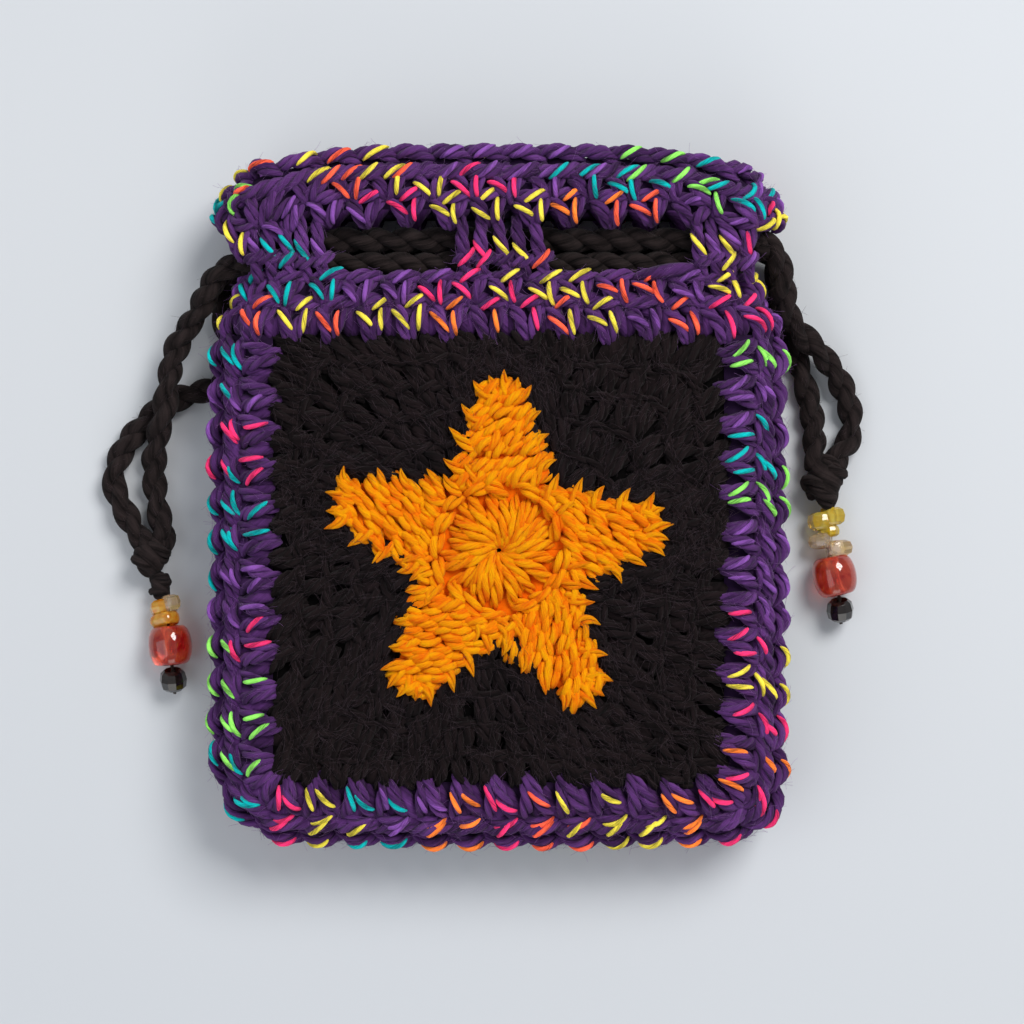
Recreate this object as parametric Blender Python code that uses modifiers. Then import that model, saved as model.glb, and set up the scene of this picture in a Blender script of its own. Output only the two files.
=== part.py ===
"""A crocheted drawstring dice bag, lying flat on its back with its mouth towards +Y.

The bag is two worsted-yarn panels joined along three sides, with a neck worked in the round above
them: a solid band, a row of tall posts that leaves windows for the drawstrings, and a collar.
Each of the two drawstrings enters at one end of the neck, runs right round it and comes out again
at the same end, where its ends are knotted together and finished with a short string of beads.
Sizes are in metres, Z is up and the table is Z = 0.
"""

import math

import bmesh
import bpy
from mathutils import Matrix, Vector

mm = 0.001

# Driving dimensions of the bag
BAG_HEIGHT = 20.0 * mm  # both panels and the air between them, empty
WALL = 3.5 * mm  # one thickness of crocheted fabric
GAP = 0.3 * mm  # between pieces that touch
FIELD_HALF_WIDTH = 40.3 * mm
FIELD_TOP = 28.3 * mm
FIELD_BOTTOM = -51.4 * mm
FIELD_CORNER = 3.5 * mm
BAND_TOP = 38.7 * mm
COLLAR_FOOT = 48.2 * mm
FRONT_RIM = 60.4 * mm
BACK_RIM = 62.0 * mm
RIM_DROOP = 7.0 * mm  # how much lower the rim is at its ends
SEAM_RADIUS = 2.75 * mm

# Driving dimensions of the drawstrings and the beads
CORD_DIAMETER = 4.0 * mm
LEFT_CORD_ROW = 41.15 * mm  # Y of the left drawstring inside the neck
RIGHT_CORD_ROW = 45.45 * mm  # Y of the right drawstring inside the neck
TURN_X = 38.2 * mm  # where a drawstring turns back at the far end of the neck
THREAD_DIAMETER = 0.8 * mm
BORE_RADIUS = 0.75 * mm
GLASS_BEAD_DIAMETER = 8.0 * mm
BLACK_BEAD_DIAMETER = 4.8 * mm

MIDDLE_Z = BAG_HEIGHT / 2
FRONT_Z = BAG_HEIGHT - WALL / 2 - 0.05 * mm  # middle of the front fabric
BACK_Z = WALL / 2 + 0.05 * mm  # middle of the back fabric
NECK_RADIUS = FRONT_Z - MIDDLE_Z  # the fold at each end of the flattened neck
CORD_FRONT_Z = 14.2 * mm
CORD_BACK_Z = 5.6 * mm

# Each arm of the star: its direction in degrees and its reach
STAR_CENTRE = Vector((0.1 * mm, -9.8 * mm))
STAR_ARMS = ((89, 31.2), (162.3, 31.6), (236, 31.3), (301.2, 31.8), (370.5, 30.4))
STAR_VALLEY = 17.6 * mm
STAR_TIP_HALF_WIDTH = 4.6 * mm

for old in list(bpy.data.objects):
    bpy.data.objects.remove(old)

parts = bpy.data.collections.new("drawstring_dice_bag")
cutters = bpy.data.collections.new("cutters")
bpy.context.scene.collection.children.link(parts)
bpy.context.scene.collection.children.link(cutters)


# ---------------------------------------------------------------- materials


def material(name, colour, roughness, transmission=0.0):
    made = bpy.data.materials.new(name)
    made.use_nodes = True
    shader = made.node_tree.nodes["Principled BSDF"]
    shader.inputs["Base Color"].default_value = (*colour, 1.0)
    shader.inputs["Roughness"].default_value = roughness
    shader.inputs["Metallic"].default_value = 0.0
    shader.inputs["Transmission Weight"].default_value = transmission
    return made


purple_yarn = material("purple_yarn", (0.070, 0.022, 0.105), 0.85)
black_yarn = material("black_yarn", (0.008, 0.006, 0.009), 0.9)
orange_yarn = material("orange_yarn", (0.90, 0.19, 0.005), 0.8)
black_cord = material("black_cord", (0.008, 0.007, 0.010), 0.85)
bead_thread = material("bead_thread", (0.03, 0.025, 0.02), 0.8)
red_glass = material("red_glass", (0.70, 0.07, 0.05), 0.08, 0.6)
amber_glass = material("amber_glass", (0.85, 0.45, 0.06), 0.1, 0.6)
yellow_glass = material("yellow_glass", (0.80, 0.66, 0.10), 0.1, 0.6)
clear_glass = material("clear_glass", (0.80, 0.66, 0.58), 0.1, 0.7)
black_glass = material("black_glass", (0.006, 0.005, 0.012), 0.12)


# ---------------------------------------------------------------- ways of making a piece


def add(name, data, surface):
    made = bpy.data.objects.new(name, data)
    made.data.materials.append(surface)
    parts.objects.link(made)
    return made


def smooth(mesh):
    mesh.shade_smooth()
    mesh.set_sharp_from_angle(angle=math.radians(50))


def fabric_sheet(name, columns, rows, place, surface, closed=False):
    """A grid formed to place(column, row), row running 0 to 1, and given the fabric's thickness."""
    shape = bmesh.new()
    last = len(columns) - 1
    bmesh.ops.create_grid(shape, x_segments=last, y_segments=rows, size=0.5)
    for corner in shape.verts:
        column = columns[round((corner.co.x + 0.5) * last)]
        corner.co = Vector(place(column, corner.co.y + 0.5))
    if closed:
        bmesh.ops.remove_doubles(shape, verts=shape.verts, dist=0.01 * mm)
    mesh = bpy.data.meshes.new(name)
    shape.to_mesh(mesh)
    shape.free()
    smooth(mesh)
    made = add(name, mesh, surface)
    shell = made.modifiers.new("fabric", "SOLIDIFY")
    shell.thickness = WALL
    shell.offset = 0.0
    shell.use_even_offset = True
    return made


def flat_panel(name, outlines, z, surface):
    """A flat piece of fabric with the given closed outlines, the second one being a hole."""
    curve = bpy.data.curves.new(name, "CURVE")
    curve.dimensions = "2D"
    curve.fill_mode = "BOTH"
    curve.extrude = WALL / 2
    for outline in outlines:
        spline = curve.splines.new("POLY")
        spline.points.add(len(outline) - 1)
        for point, (x, y) in zip(spline.points, outline):
            point.co = (x, y, 0.0, 1.0)
        spline.use_cyclic_u = True
    made = add(name, curve, surface)
    made.location.z = z
    return made


def smooth_route(corners, step):
    """Points about a step apart on a smooth curve (Catmull-Rom) through the corners."""
    corners = [Vector(c) * mm for c in corners]
    ends = [2 * corners[0] - corners[1]] + corners + [2 * corners[-1] - corners[-2]]
    fine = []
    for a, b, c, d in zip(ends, ends[1:], ends[2:], ends[3:]):
        for i in range(16):
            t = i / 16
            fine.append(0.5 * (2 * b + (c - a) * t + (2 * a - 5 * b + 4 * c - d) * t**2
                               + (3 * b - a - 3 * c + d) * t**3))
    fine.append(corners[-1])
    points = [fine[0]]
    for here in fine[1:-1]:
        if (here - points[-1]).length >= step:
            points.append(here)
    if (points[-1] - fine[-1]).length < step / 2:
        points.pop()
    return points + [fine[-1]]


def tube(name, points, diameter, resolution, surface, closed=False):
    curve = bpy.data.curves.new(name, "CURVE")
    curve.dimensions = "3D"
    curve.bevel_depth = diameter / 2
    curve.bevel_resolution = resolution
    curve.use_fill_caps = True
    spline = curve.splines.new("POLY")
    spline.points.add(len(points) - 1)
    for point, place in zip(spline.points, points):
        point.co = (*place, 1.0)
    spline.use_cyclic_u = closed
    spline.use_smooth = True
    return add(name, curve, surface)


def turned(name, profile, middle, direction, steps, surface, closed=False):
    """A profile of (radius, height) turned round the direction through middle."""
    shape = bmesh.new()
    corners = [shape.verts.new((radius, 0.0, height)) for radius, height in profile]
    loop = corners + corners[:1] if closed else corners
    for here, there in zip(loop, loop[1:]):
        shape.edges.new((here, there))
    mesh = bpy.data.meshes.new(name)
    shape.to_mesh(mesh)
    shape.free()
    made = add(name, mesh, surface)
    made.location = middle
    made.rotation_mode = "QUATERNION"
    made.rotation_quaternion = Vector((0, 0, 1)).rotation_difference(direction)
    screw = made.modifiers.new("turn", "SCREW")
    screw.steps = screw.render_steps = steps
    screw.use_merge_vertices = True
    screw.merge_threshold = 0.01 * mm
    screw.use_smooth_shade = True
    return made


# ---------------------------------------------------------------- the front and back panels


def rounded_rectangle(half_width, bottom, top, radius, steps=4):
    corners = []
    centres = (
        (half_width - radius, top - radius, 0),
        (-half_width + radius, top - radius, 90),
        (-half_width + radius, bottom + radius, 180),
        (half_width - radius, bottom + radius, 270),
    )
    for x, y, start in centres:
        for i in range(steps + 1):
            angle = math.radians(start + 90 * i / steps)
            corners.append((x + radius * math.cos(angle), y + radius * math.sin(angle)))
    return corners


def star_outline(grow):
    """Five blunt arms, each ending in three short spikes, moved outwards by grow."""
    outline = []
    for i, (degrees, reach) in enumerate(STAR_ARMS):
        along = Vector((math.cos(math.radians(degrees)), math.sin(math.radians(degrees))))
        across = Vector((-along.y, along.x))
        tip = reach * mm + grow
        half = STAR_TIP_HALF_WIDTH + grow
        notch = tip - 1.6 * mm
        ends = ((notch - 1.2 * mm, -half), (tip - 0.7 * mm, -half + 1.2 * mm), (notch, -half / 3),
                (tip, 0), (notch, half / 3), (tip - 0.7 * mm, half - 1.2 * mm),
                (notch - 1.2 * mm, half))
        outline += [STAR_CENTRE + along * a + across * b for a, b in ends]
        following = STAR_ARMS[(i + 1) % len(STAR_ARMS)][0]
        middle = math.radians(degrees + ((following - degrees) % 360) / 2)
        valley = STAR_VALLEY + grow
        outline.append(STAR_CENTRE + Vector((math.cos(middle), math.sin(middle))) * valley)
    return [(p.x, p.y) for p in outline]


field = rounded_rectangle(FIELD_HALF_WIDTH, FIELD_BOTTOM, FIELD_TOP, FIELD_CORNER)
flat_panel("star_motif", [star_outline(0.0)], FRONT_Z, orange_yarn)
flat_panel("front_field", [field, star_outline(GAP)], FRONT_Z, black_yarn)
flat_panel("back_field", [field], BACK_Z, black_yarn)


# ---------------------------------------------------------------- the borders and the joining edge

# A rail is a U that runs down the left side, along the bottom and up the right side:
# half width, bottom, radius at the left corner, radius at the right corner, sag of the bottom.
INNER_RAIL = (FIELD_HALF_WIDTH + GAP, FIELD_BOTTOM - GAP, 3.8 * mm, 3.8 * mm, 0.0)
OUTER_RAIL = (46.0 * mm, -56.4 * mm, 10.0 * mm, 6.0 * mm, 1.0 * mm)
SEAM_RAIL = (47.9 * mm, -58.0 * mm, 12.0 * mm, 8.0 * mm, 1.25 * mm)
RAIL_COUNTS = (6, 5, 8, 5, 6)  # steps along the left side, corner, bottom, corner, right side


def on_rail(station, rail):
    """The point of a rail at a station, which runs 0 to 5 through the rail's five stretches."""
    half_width, bottom, left, right, sag = rail
    stretch = min(int(station), 4)
    along = station - stretch
    if stretch in (0, 4):
        side = -1 if stretch == 0 else 1
        corner = left if stretch == 0 else right
        down = along if stretch == 0 else 1 - along
        x, y = side * half_width, FIELD_TOP + (bottom + corner - FIELD_TOP) * down
    elif stretch == 1:
        angle = math.pi * (1 + along / 2)
        x = -half_width + left + left * math.cos(angle)
        y = bottom + left + left * math.sin(angle)
    elif stretch == 2:
        x, y = -half_width + left + (2 * half_width - left - right) * along, bottom
    else:
        angle = math.pi * (1.5 + along / 2)
        x = half_width - right + right * math.cos(angle)
        y = bottom + right + right * math.sin(angle)
    low = max(0.0, y / bottom) ** 4
    return Vector((x, y - sag * (1 - (x / half_width) ** 2) * low))


def rail_stations():
    found = []
    for stretch, count in enumerate(RAIL_COUNTS):
        found += [stretch + i / count for i in range(count)]
    return found + [float(len(RAIL_COUNTS))]


def border(name, flat_z, seam_z):
    """A strip that leaves the panel level and curves over to the seam at half height."""

    def place(station, row):
        inner, outer = on_rail(station, INNER_RAIL), on_rail(station, OUTER_RAIL)
        spot = inner.lerp(outer, row)
        return spot.x, spot.y, flat_z + (seam_z - flat_z) * row**2.5

    return fabric_sheet(name, rail_stations(), 5, place, purple_yarn)


border("front_border", FRONT_Z, MIDDLE_Z + 2.6 * mm)
border("back_border", BACK_Z, MIDDLE_Z - 2.6 * mm)
seam = [(*on_rail(station, SEAM_RAIL), MIDDLE_Z) for station in rail_stations()]
tube("joining_edge", seam, 2 * SEAM_RADIUS, 3, purple_yarn)


# ---------------------------------------------------------------- the neck: band, posts, collar


def on_ring(station, half_width):
    """X and Z on a flattened ring. The station runs 0 to 4: front, right fold, back, left fold."""
    station = station % 4
    stretch = int(station)
    along = station - stretch
    flat = half_width - NECK_RADIUS
    if stretch in (0, 2):
        side = 1 if stretch == 0 else -1
        return flat * (2 * along - 1) * side, MIDDLE_Z + NECK_RADIUS * side
    side = 1 if stretch == 1 else -1
    angle = math.pi * (0.5 - along) if stretch == 1 else math.pi * (along - 0.5)
    return side * (flat + NECK_RADIUS * math.cos(angle)), MIDDLE_Z + NECK_RADIUS * math.sin(angle)


def neck_band(station, row):
    narrowing = 3 * row**2 - 2 * row**3
    x, z = on_ring(station, (48.6 - 3.7 * narrowing) * mm)
    foot = FIELD_TOP + 1.5 * GAP
    return x, foot + (BAND_TOP - foot) * row, z


def collar(rim):
    def place(station, row):
        x, z = on_ring(station, (50.1 - 4.5 * row**2) * mm)
        top = rim - RIM_DROOP * abs(x / (50 * mm)) ** 4
        return x, COLLAR_FOOT + (top - COLLAR_FOOT) * row, z

    return place


def stations(first, last, count):
    return [first + (last - first) * i / count for i in range(count + 1)]


NECK_STATIONS = (stations(0, 1, 4)[:-1] + stations(1, 2, 8)[:-1]
                 + stations(2, 3, 4)[:-1] + stations(3, 4, 8))
SPLIT = 0.025  # half the gap between the two halves of the collar, in stations
fabric_sheet("neck_band", NECK_STATIONS, 5, neck_band, purple_yarn, closed=True)
front_half = stations(-0.5 + SPLIT, 0, 5)[:-1] + stations(0, 1, 12)[:-1] + stations(1, 1.5 - SPLIT, 5)
back_half = stations(1.5 + SPLIT, 2, 5)[:-1] + stations(2, 3, 12)[:-1] + stations(3, 3.5 - SPLIT, 5)
fabric_sheet("collar_front", front_half, 4, collar(FRONT_RIM), purple_yarn)
fabric_sheet("collar_back", back_half, 4, collar(BACK_RIM), purple_yarn)


def post(name, left, right, low_z):
    """A short stretch of tall stitches between the band and the collar."""
    size = Vector((right - left, COLLAR_FOOT - BAND_TOP - 2 * GAP, POST_WALL))
    shape = bmesh.new()
    bmesh.ops.create_cube(shape, size=1.0, matrix=Matrix.Diagonal((*size, 1.0)))
    mesh = bpy.data.meshes.new(name)
    shape.to_mesh(mesh)
    shape.free()
    made = add(name, mesh, purple_yarn)
    made.location = ((left + right) / 2, (COLLAR_FOOT + BAND_TOP) / 2, low_z + size.z / 2)
    rounding = made.modifiers.new("rounding", "BEVEL")
    rounding.width = 0.9 * mm
    rounding.segments = 2
    return made


POST_WALL = 3.3 * mm
POST_SPANS = {"left": (-43.6, -30.9), "centre": (-6.0, 7.4), "right": (35.3, 43.8)}
for side, (left, right) in POST_SPANS.items():
    post(f"front_post_{side}", left * mm, right * mm, BAG_HEIGHT - 0.1 * mm - POST_WALL)
    post(f"back_post_{side}", left * mm, right * mm, 0.0)


# ---------------------------------------------------------------- the drawstrings and their knots


def round_the_neck(row, side):
    """The run inside the neck: in by the front, round the far end, and out by the back."""
    row, turn, radius = row / mm, TURN_X / mm, (CORD_FRONT_Z - CORD_BACK_Z) / 2 / mm
    front, back = CORD_FRONT_Z / mm, CORD_BACK_Z / mm
    centre = (front + back) / 2
    straight = [side * x for x in (42, 32, 20, 8, -4, -16, -28)]
    arc = [math.radians(a) for a in (90, 60, 30, 0, -30, -60, -90)]
    return ([(x, row, front) for x in straight]
            + [(-side * (turn + radius * math.cos(a)), row, centre + radius * math.sin(a)) for a in arc]
            + [(x, row, back) for x in reversed(straight)])


# From the knot up the front strand, round the neck and down the back strand to the knot, in mm
left_route = (
    [(-61.2, -7.5, 3.2), (-62.2, -4.4, 2.5), (-63.0, 0.2, 2.15), (-63.4, 4.6, 2.3),
     (-62.8, 9.3, 3.6), (-61.5, 13.4, 5.6), (-60.5, 17.5, 6.7), (-59.9, 22.0, 6.3),
     (-58.9, 26.2, 6.0), (-57.2, 29.4, 6.7), (-54.3, 33.3, 9.0), (-51.9, 37.3, 11.7),
     (-49.7, 40.1, 13.2), (-46.4, 41.0, 14.0)]
    + round_the_neck(LEFT_CORD_ROW, -1)
    + [(-46.6, 41.1, 5.4), (-50.0, 39.8, 4.4), (-51.1, 36.0, 2.9), (-50.3, 31.2, 2.15),
       (-48.2, 26.4, 2.15), (-48.7, 22.2, 2.15), (-52.4, 19.8, 2.15), (-56.2, 18.6, 2.15),
       (-59.9, 17.4, 2.1), (-63.5, 14.9, 2.15), (-67.2, 10.9, 2.15), (-69.9, 6.5, 2.15),
       (-70.8, 2.6, 2.15), (-69.6, -1.2, 2.2), (-67.6, -4.9, 2.6), (-65.7, -7.8, 3.2)]
)
right_route = (
    [(62.4, 7.5, 3.4), (63.9, 9.4, 2.5), (64.8, 12.4, 2.15), (64.3, 16.5, 2.15),
     (62.5, 20.9, 2.5), (59.9, 24.6, 4.0), (56.7, 27.7, 5.9), (53.9, 30.4, 7.4),
     (52.1, 33.5, 8.9), (51.3, 37.1, 10.6), (50.7, 40.8, 12.1), (49.2, 43.8, 13.4),
     (46.3, 45.3, 14.1)]
    + round_the_neck(RIGHT_CORD_ROW, 1)
    + [(46.3, 45.3, 5.4), (49.4, 43.8, 4.6), (50.9, 40.5, 3.4), (51.3, 36.5, 2.5),
       (51.7, 32.5, 2.15), (53.3, 28.5, 2.15), (55.0, 24.2, 2.15), (56.3, 20.0, 2.15),
       (57.2, 16.3, 2.15), (57.8, 12.6, 2.3), (57.9, 9.8, 2.8), (57.8, 7.5, 3.3)]
)
tube("left_cord", smooth_route(left_route, 3.4 * mm), CORD_DIAMETER, 3, black_cord)
tube("right_cord", smooth_route(right_route, 3.4 * mm), CORD_DIAMETER, 3, black_cord)


def oval(radius, half_length, count=8):
    """Half of an oval from its top to its bottom, as (radius, height)."""
    turns = [math.pi * i / count for i in range(count + 1)]
    return [(radius * math.sin(a), half_length * math.cos(a)) for a in turns]


def drop(radius, top, bottom, count=9):
    """A knot that is round at the top and tapers towards its bottom."""
    turns = [math.pi * i / count for i in range(count + 1)]
    return [(radius * math.sin(a) * (1 - 0.25 * (1 - math.cos(a)) / 2),
             (top - bottom) / 2 * math.cos(a) + (top + bottom) / 2) for a in turns]


def at(x, y, z):
    return Vector((x, y, z)) * mm


turned("left_knot", oval(3.1 * mm, 3.0 * mm), at(-63.4, -11.2, 3.2), Vector((0.1, 1, 0)), 16, black_cord)
turned("left_end_knot", oval(2.2 * mm, 2.0 * mm), at(-62.1, -16.75, 2.9), Vector((-0.25, 1, 0)), 14,
       black_cord)
turned("right_knot", drop(4.0 * mm, 4.9 * mm, -4.5 * mm), at(59.6, 1.9, 4.05), Vector((-0.06, 1, 0.08)), 16,
       black_cord)


# ---------------------------------------------------------------- the beads

# Where each thread leaves its knot, and the points at which it bends, each in a gap between beads
LEFT_THREAD = (at(-61.5, -19.1, 3.0), at(-60.5, -23.75, 3.95), at(-59.8, -31.25, 4.15), at(-59.5, -36.4, 2.7))
RIGHT_THREAD = (at(59.8, -2.9, 3.3), at(60.6, -11.1, 4.0), at(62.2, -18.45, 4.15), at(62.8, -23.6, 2.7))


def bead_string(side, thread):
    """The thread, a faceted-round glass bead on its second stretch and a black one on its third."""
    tube(f"{side}_thread", thread, THREAD_DIAMETER, 2, bead_thread)
    bored_bead(f"{side}_glass_bead", thread[1], thread[2], GLASS_BEAD_DIAMETER, 7.0 * mm, red_glass)
    bored_bead(f"{side}_black_bead", thread[2], thread[3], BLACK_BEAD_DIAMETER, 4.0 * mm, black_glass)


def bored_bead(name, start, end, diameter, length, surface):
    """A round bead with a straight bore along its stretch of thread."""
    count = 9
    half = length / 2
    outer = []
    for i in range(count + 1):
        angle = math.radians(90 - 68) + math.radians(2 * 68) * i / count
        outer.append((max(diameter / 2 * math.sin(angle), BORE_RADIUS),
                      half * math.cos(angle) / math.cos(math.radians(90 - 68))))
    profile = outer + [(BORE_RADIUS, -half), (BORE_RADIUS, half)]
    return turned(name, profile, (start + end) / 2, end - start, 20, surface, closed=True)


def chip(name, start, end, share, offset, size, turn, surface):
    """A tumbled glass chip, strung through a hole away from its middle."""
    along = (end - start).normalized()
    across = along.cross(Vector((0, 0, 1))).normalized()
    spot = start.lerp(end, share)
    shape = bmesh.new()
    bmesh.ops.create_icosphere(shape, subdivisions=2, radius=0.5)
    bmesh.ops.scale(shape, vec=Vector(size) * mm, verts=shape.verts)
    mesh = bpy.data.meshes.new(name)
    shape.to_mesh(mesh)
    shape.free()
    smooth(mesh)
    made = add(name, mesh, surface)
    frame = Matrix((across, along, across.cross(along))).transposed().to_4x4()
    made.matrix_world = (Matrix.Translation(spot + across * offset * mm) @ frame
                         @ Matrix.Rotation(math.radians(turn), 4, "Z"))
    drill = bmesh.new()
    bmesh.ops.create_cone(drill, cap_ends=True, segments=12, radius1=BORE_RADIUS, radius2=BORE_RADIUS,
                          depth=8 * mm)
    hole = bpy.data.meshes.new(name + "_hole")
    drill.to_mesh(hole)
    drill.free()
    cutter = bpy.data.objects.new(name + "_cutter", hole)
    cutters.objects.link(cutter)
    cutter.hide_render = True
    cutter.display_type = "WIRE"
    cutter.location = spot
    cutter.rotation_mode = "QUATERNION"
    cutter.rotation_quaternion = Vector((0, 0, 1)).rotation_difference(along)
    cut = made.modifiers.new("bore", "BOOLEAN")
    cut.operation = "DIFFERENCE"
    cut.object = cutter
    return made


bead_string("left", LEFT_THREAD)
bead_string("right", RIGHT_THREAD)

# On each thread between the knot and the glass bead: share of the way, offset to the right,
# size across, along and up, and turn
LEFT_CHIPS = (
    ("left_chip_1", 0.15, -0.9, (4.0, 1.3, 3.4), 10, amber_glass),
    ("left_chip_2", 0.46, 0.8, (3.8, 1.3, 3.4), -8, amber_glass),
    ("left_amber_bead", 0.79, 0.2, (5.4, 1.8, 4.6), 0, amber_glass),
)
RIGHT_CHIPS = (
    ("right_chip_1", 0.10, -1.0, (3.8, 1.3, 3.2), 12, yellow_glass),
    ("right_chip_2", 0.29, 0.7, (3.6, 1.4, 3.4), -12, yellow_glass),
    ("right_chip_3", 0.48, -0.2, (3.6, 1.3, 3.6), 6, yellow_glass),
    ("right_chip_4", 0.67, 1.0, (4.2, 1.3, 3.6), -8, clear_glass),
    ("right_chip_5", 0.87, -1.1, (4.4, 1.5, 4.0), 8, clear_glass),
)
for thread, chips in ((LEFT_THREAD, LEFT_CHIPS), (RIGHT_THREAD, RIGHT_CHIPS)):
    for name, share, offset, size, turn, surface in chips:
        chip(name, thread[0], thread[1], share, offset, size, turn, surface)
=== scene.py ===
"""A crocheted drawstring dice bag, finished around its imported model.

Sections follow how the bag is put together: the table it lies on, the star and the black panel
round it, the back panel, the purple borders and the joining edge, the neck with its band, posts and
collar, then the drawstrings, their knots and the beads.
"""

import bpy
import numpy as np
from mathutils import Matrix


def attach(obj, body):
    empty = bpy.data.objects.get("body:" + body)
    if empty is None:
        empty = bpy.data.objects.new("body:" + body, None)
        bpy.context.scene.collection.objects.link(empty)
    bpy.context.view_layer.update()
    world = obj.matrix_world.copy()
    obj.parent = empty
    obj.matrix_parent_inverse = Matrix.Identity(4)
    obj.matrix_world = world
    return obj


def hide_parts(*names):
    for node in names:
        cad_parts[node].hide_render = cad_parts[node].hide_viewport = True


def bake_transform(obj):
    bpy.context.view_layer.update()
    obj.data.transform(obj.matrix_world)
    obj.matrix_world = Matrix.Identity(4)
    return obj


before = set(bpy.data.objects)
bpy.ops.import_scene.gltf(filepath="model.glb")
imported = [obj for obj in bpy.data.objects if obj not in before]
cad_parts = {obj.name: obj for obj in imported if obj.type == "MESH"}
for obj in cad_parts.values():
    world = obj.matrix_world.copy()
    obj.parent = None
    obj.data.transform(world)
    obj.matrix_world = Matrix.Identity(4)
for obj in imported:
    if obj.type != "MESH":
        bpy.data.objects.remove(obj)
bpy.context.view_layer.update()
scene = bpy.context.scene
mm = 0.001

# ---------------------------------------------------------------- the table, the light, the camera
# The bag lies on a plain pale table under a large soft window light from its upper right,
# and is looked at from straight above.


def linear(red, green, blue):
    """A screen colour from 0 to 255 as linear light: ((share + 0.055) / 1.055) to the power 2.4, or
    share / 12.92 where it is very dark."""
    share = np.array((red, green, blue)) / 255
    return tuple(np.where(share <= 0.04045, share / 12.92, ((share + 0.055) / 1.055) ** 2.4))


def plain_material(name, colour, roughness):
    """A new node material with one shader: returns the material, its nodes, links and shader."""
    made = bpy.data.materials.new(name)
    made.use_nodes = True
    nodes = made.node_tree.nodes
    shader = nodes["Principled BSDF"]
    shader.inputs["Base Color"].default_value = (*colour, 1)
    shader.inputs["Roughness"].default_value = roughness
    return made, nodes, made.node_tree.links, shader


def lay_table():
    """One square far larger than the bag, faintly mottled."""
    side = 1.5
    mesh = bpy.data.meshes.new("table_top")
    mesh.from_pydata([(-side, -side, 0), (side, -side, 0), (side, side, 0), (-side, side, 0)], [],
                     [(0, 1, 2, 3)])
    table = bpy.data.objects.new("table_top", mesh)
    scene.collection.objects.link(table)
    surface, nodes, links, shader = plain_material("pale_table", linear(208, 212, 218), 0.75)
    mottle = nodes.new("ShaderNodeTexNoise")
    mottle.inputs["Scale"].default_value = 9
    tint = nodes.new("ShaderNodeMix")
    tint.data_type = "RGBA"
    tint.inputs["A"].default_value = (*linear(203, 208, 215), 1)
    tint.inputs["B"].default_value = (*linear(214, 217, 221), 1)
    links.new(mottle.outputs["Fac"], tint.inputs["Factor"])
    links.new(tint.outputs["Result"], shader.inputs["Base Color"])
    mesh.materials.append(surface)


def area_light(name, place, size, power, colour):
    """A square lamp at this place in metres, turned to face the middle of the table."""
    light = bpy.data.lights.new(name, "AREA")
    light.size = size
    light.energy = power
    light.color = colour
    lamp = bpy.data.objects.new(name, light)
    scene.collection.objects.link(lamp)
    lamp.location = place
    lamp.rotation_mode = "QUATERNION"
    lamp.rotation_quaternion = (-lamp.location).to_track_quat("-Z", "Y")


def hang_camera():
    """Straight above the bag, with the picture's up towards the mouth: height = width of the view
    times the lens's length over its sensor's width."""
    lens = bpy.data.cameras.new("camera")
    lens.lens = 85
    lens.clip_start = 0.01
    eye = bpy.data.objects.new("camera", lens)
    scene.collection.objects.link(eye)
    height = WIDE_VIEW * lens.lens / lens.sensor_width
    eye.location = (VIEW_CENTRE[0], VIEW_CENTRE[1], height + VIEW_LEVEL)
    scene.camera = eye


WIDE_VIEW = 182.3 * mm  # how much of the bag's own level the picture is wide
VIEW_CENTRE = (2.4 * mm, -3.1 * mm)
VIEW_LEVEL = 16 * mm  # the height over the table at which that width is measured
lay_table()
hang_camera()
area_light("window", (0.42, 0.50, 0.75), 0.45, 8.0, (1.0, 0.985, 0.96))
area_light("fill", (-0.60, -0.25, 0.70), 0.9, 2.6, (0.93, 0.96, 1.0))
area_light("low", (0.1, -0.80, 0.35), 0.5, 1.2, (1.0, 0.97, 0.94))
scene.world = bpy.data.worlds.new("studio")
scene.world.use_nodes = True
sky = scene.world.node_tree.nodes["Background"]
sky.inputs["Color"].default_value = (0.93, 0.96, 1.0, 1)
sky.inputs["Strength"].default_value = 0.34
scene.view_settings.view_transform = "Standard"

# ---------------------------------------------------------------- the star motif
# The front's middle: a star crocheted in orange worsted yarn from a small hole outwards, with a disc
# of tall stitches, two rounds of slanting links, then four rows of leaning stitches along each of
# five arms. The yarn is three plies twisted together, and its last loops stand out as spikes.

chance = np.random.default_rng(20)
WHITE = np.array((1.0, 1.0, 1.0, 1.0))
ON_TABLE = 0.05 * mm  # no yarn goes lower than this
MIDDLE = 10  # mm, the height of the bag's middle over the table
PLIES = 3
PLY_OFFSET, PLY_THICKNESS = 0.55, 0.5  # shares of the whole yarn's radius
LAY, SPIKE_LAY, BLACK_LAY = 9.5 * mm, 11 * mm, 9 * mm  # length of yarn in which its plies turn once


def unit(vectors):
    """Each vector divided by its length."""
    return vectors / np.maximum(np.linalg.norm(vectors, axis=-1, keepdims=True), 1e-12)


def line_frames(lines, ups):
    """For lines (line, point, xyz): the direction, the outward and the sideways unit vectors."""
    forward = unit(np.gradient(lines, axis=1))
    sideways = unit(np.cross(forward, ups))
    return forward, np.cross(sideways, forward), sideways


def run_along(lines):
    """Distance along each line (..., point, place) from its first point: the sum of its steps."""
    steps = np.linalg.norm(np.diff(lines, axis=-2), axis=-1)
    return np.concatenate([np.zeros((*steps.shape[:-1], 1)), np.cumsum(steps, axis=-1)], axis=-1)


def round_about(angle, first, second):
    """Unit vectors at an angle from the first direction towards the second: cos first + sin second."""
    return np.cos(angle)[..., None] * first + np.sin(angle)[..., None] * second


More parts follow.
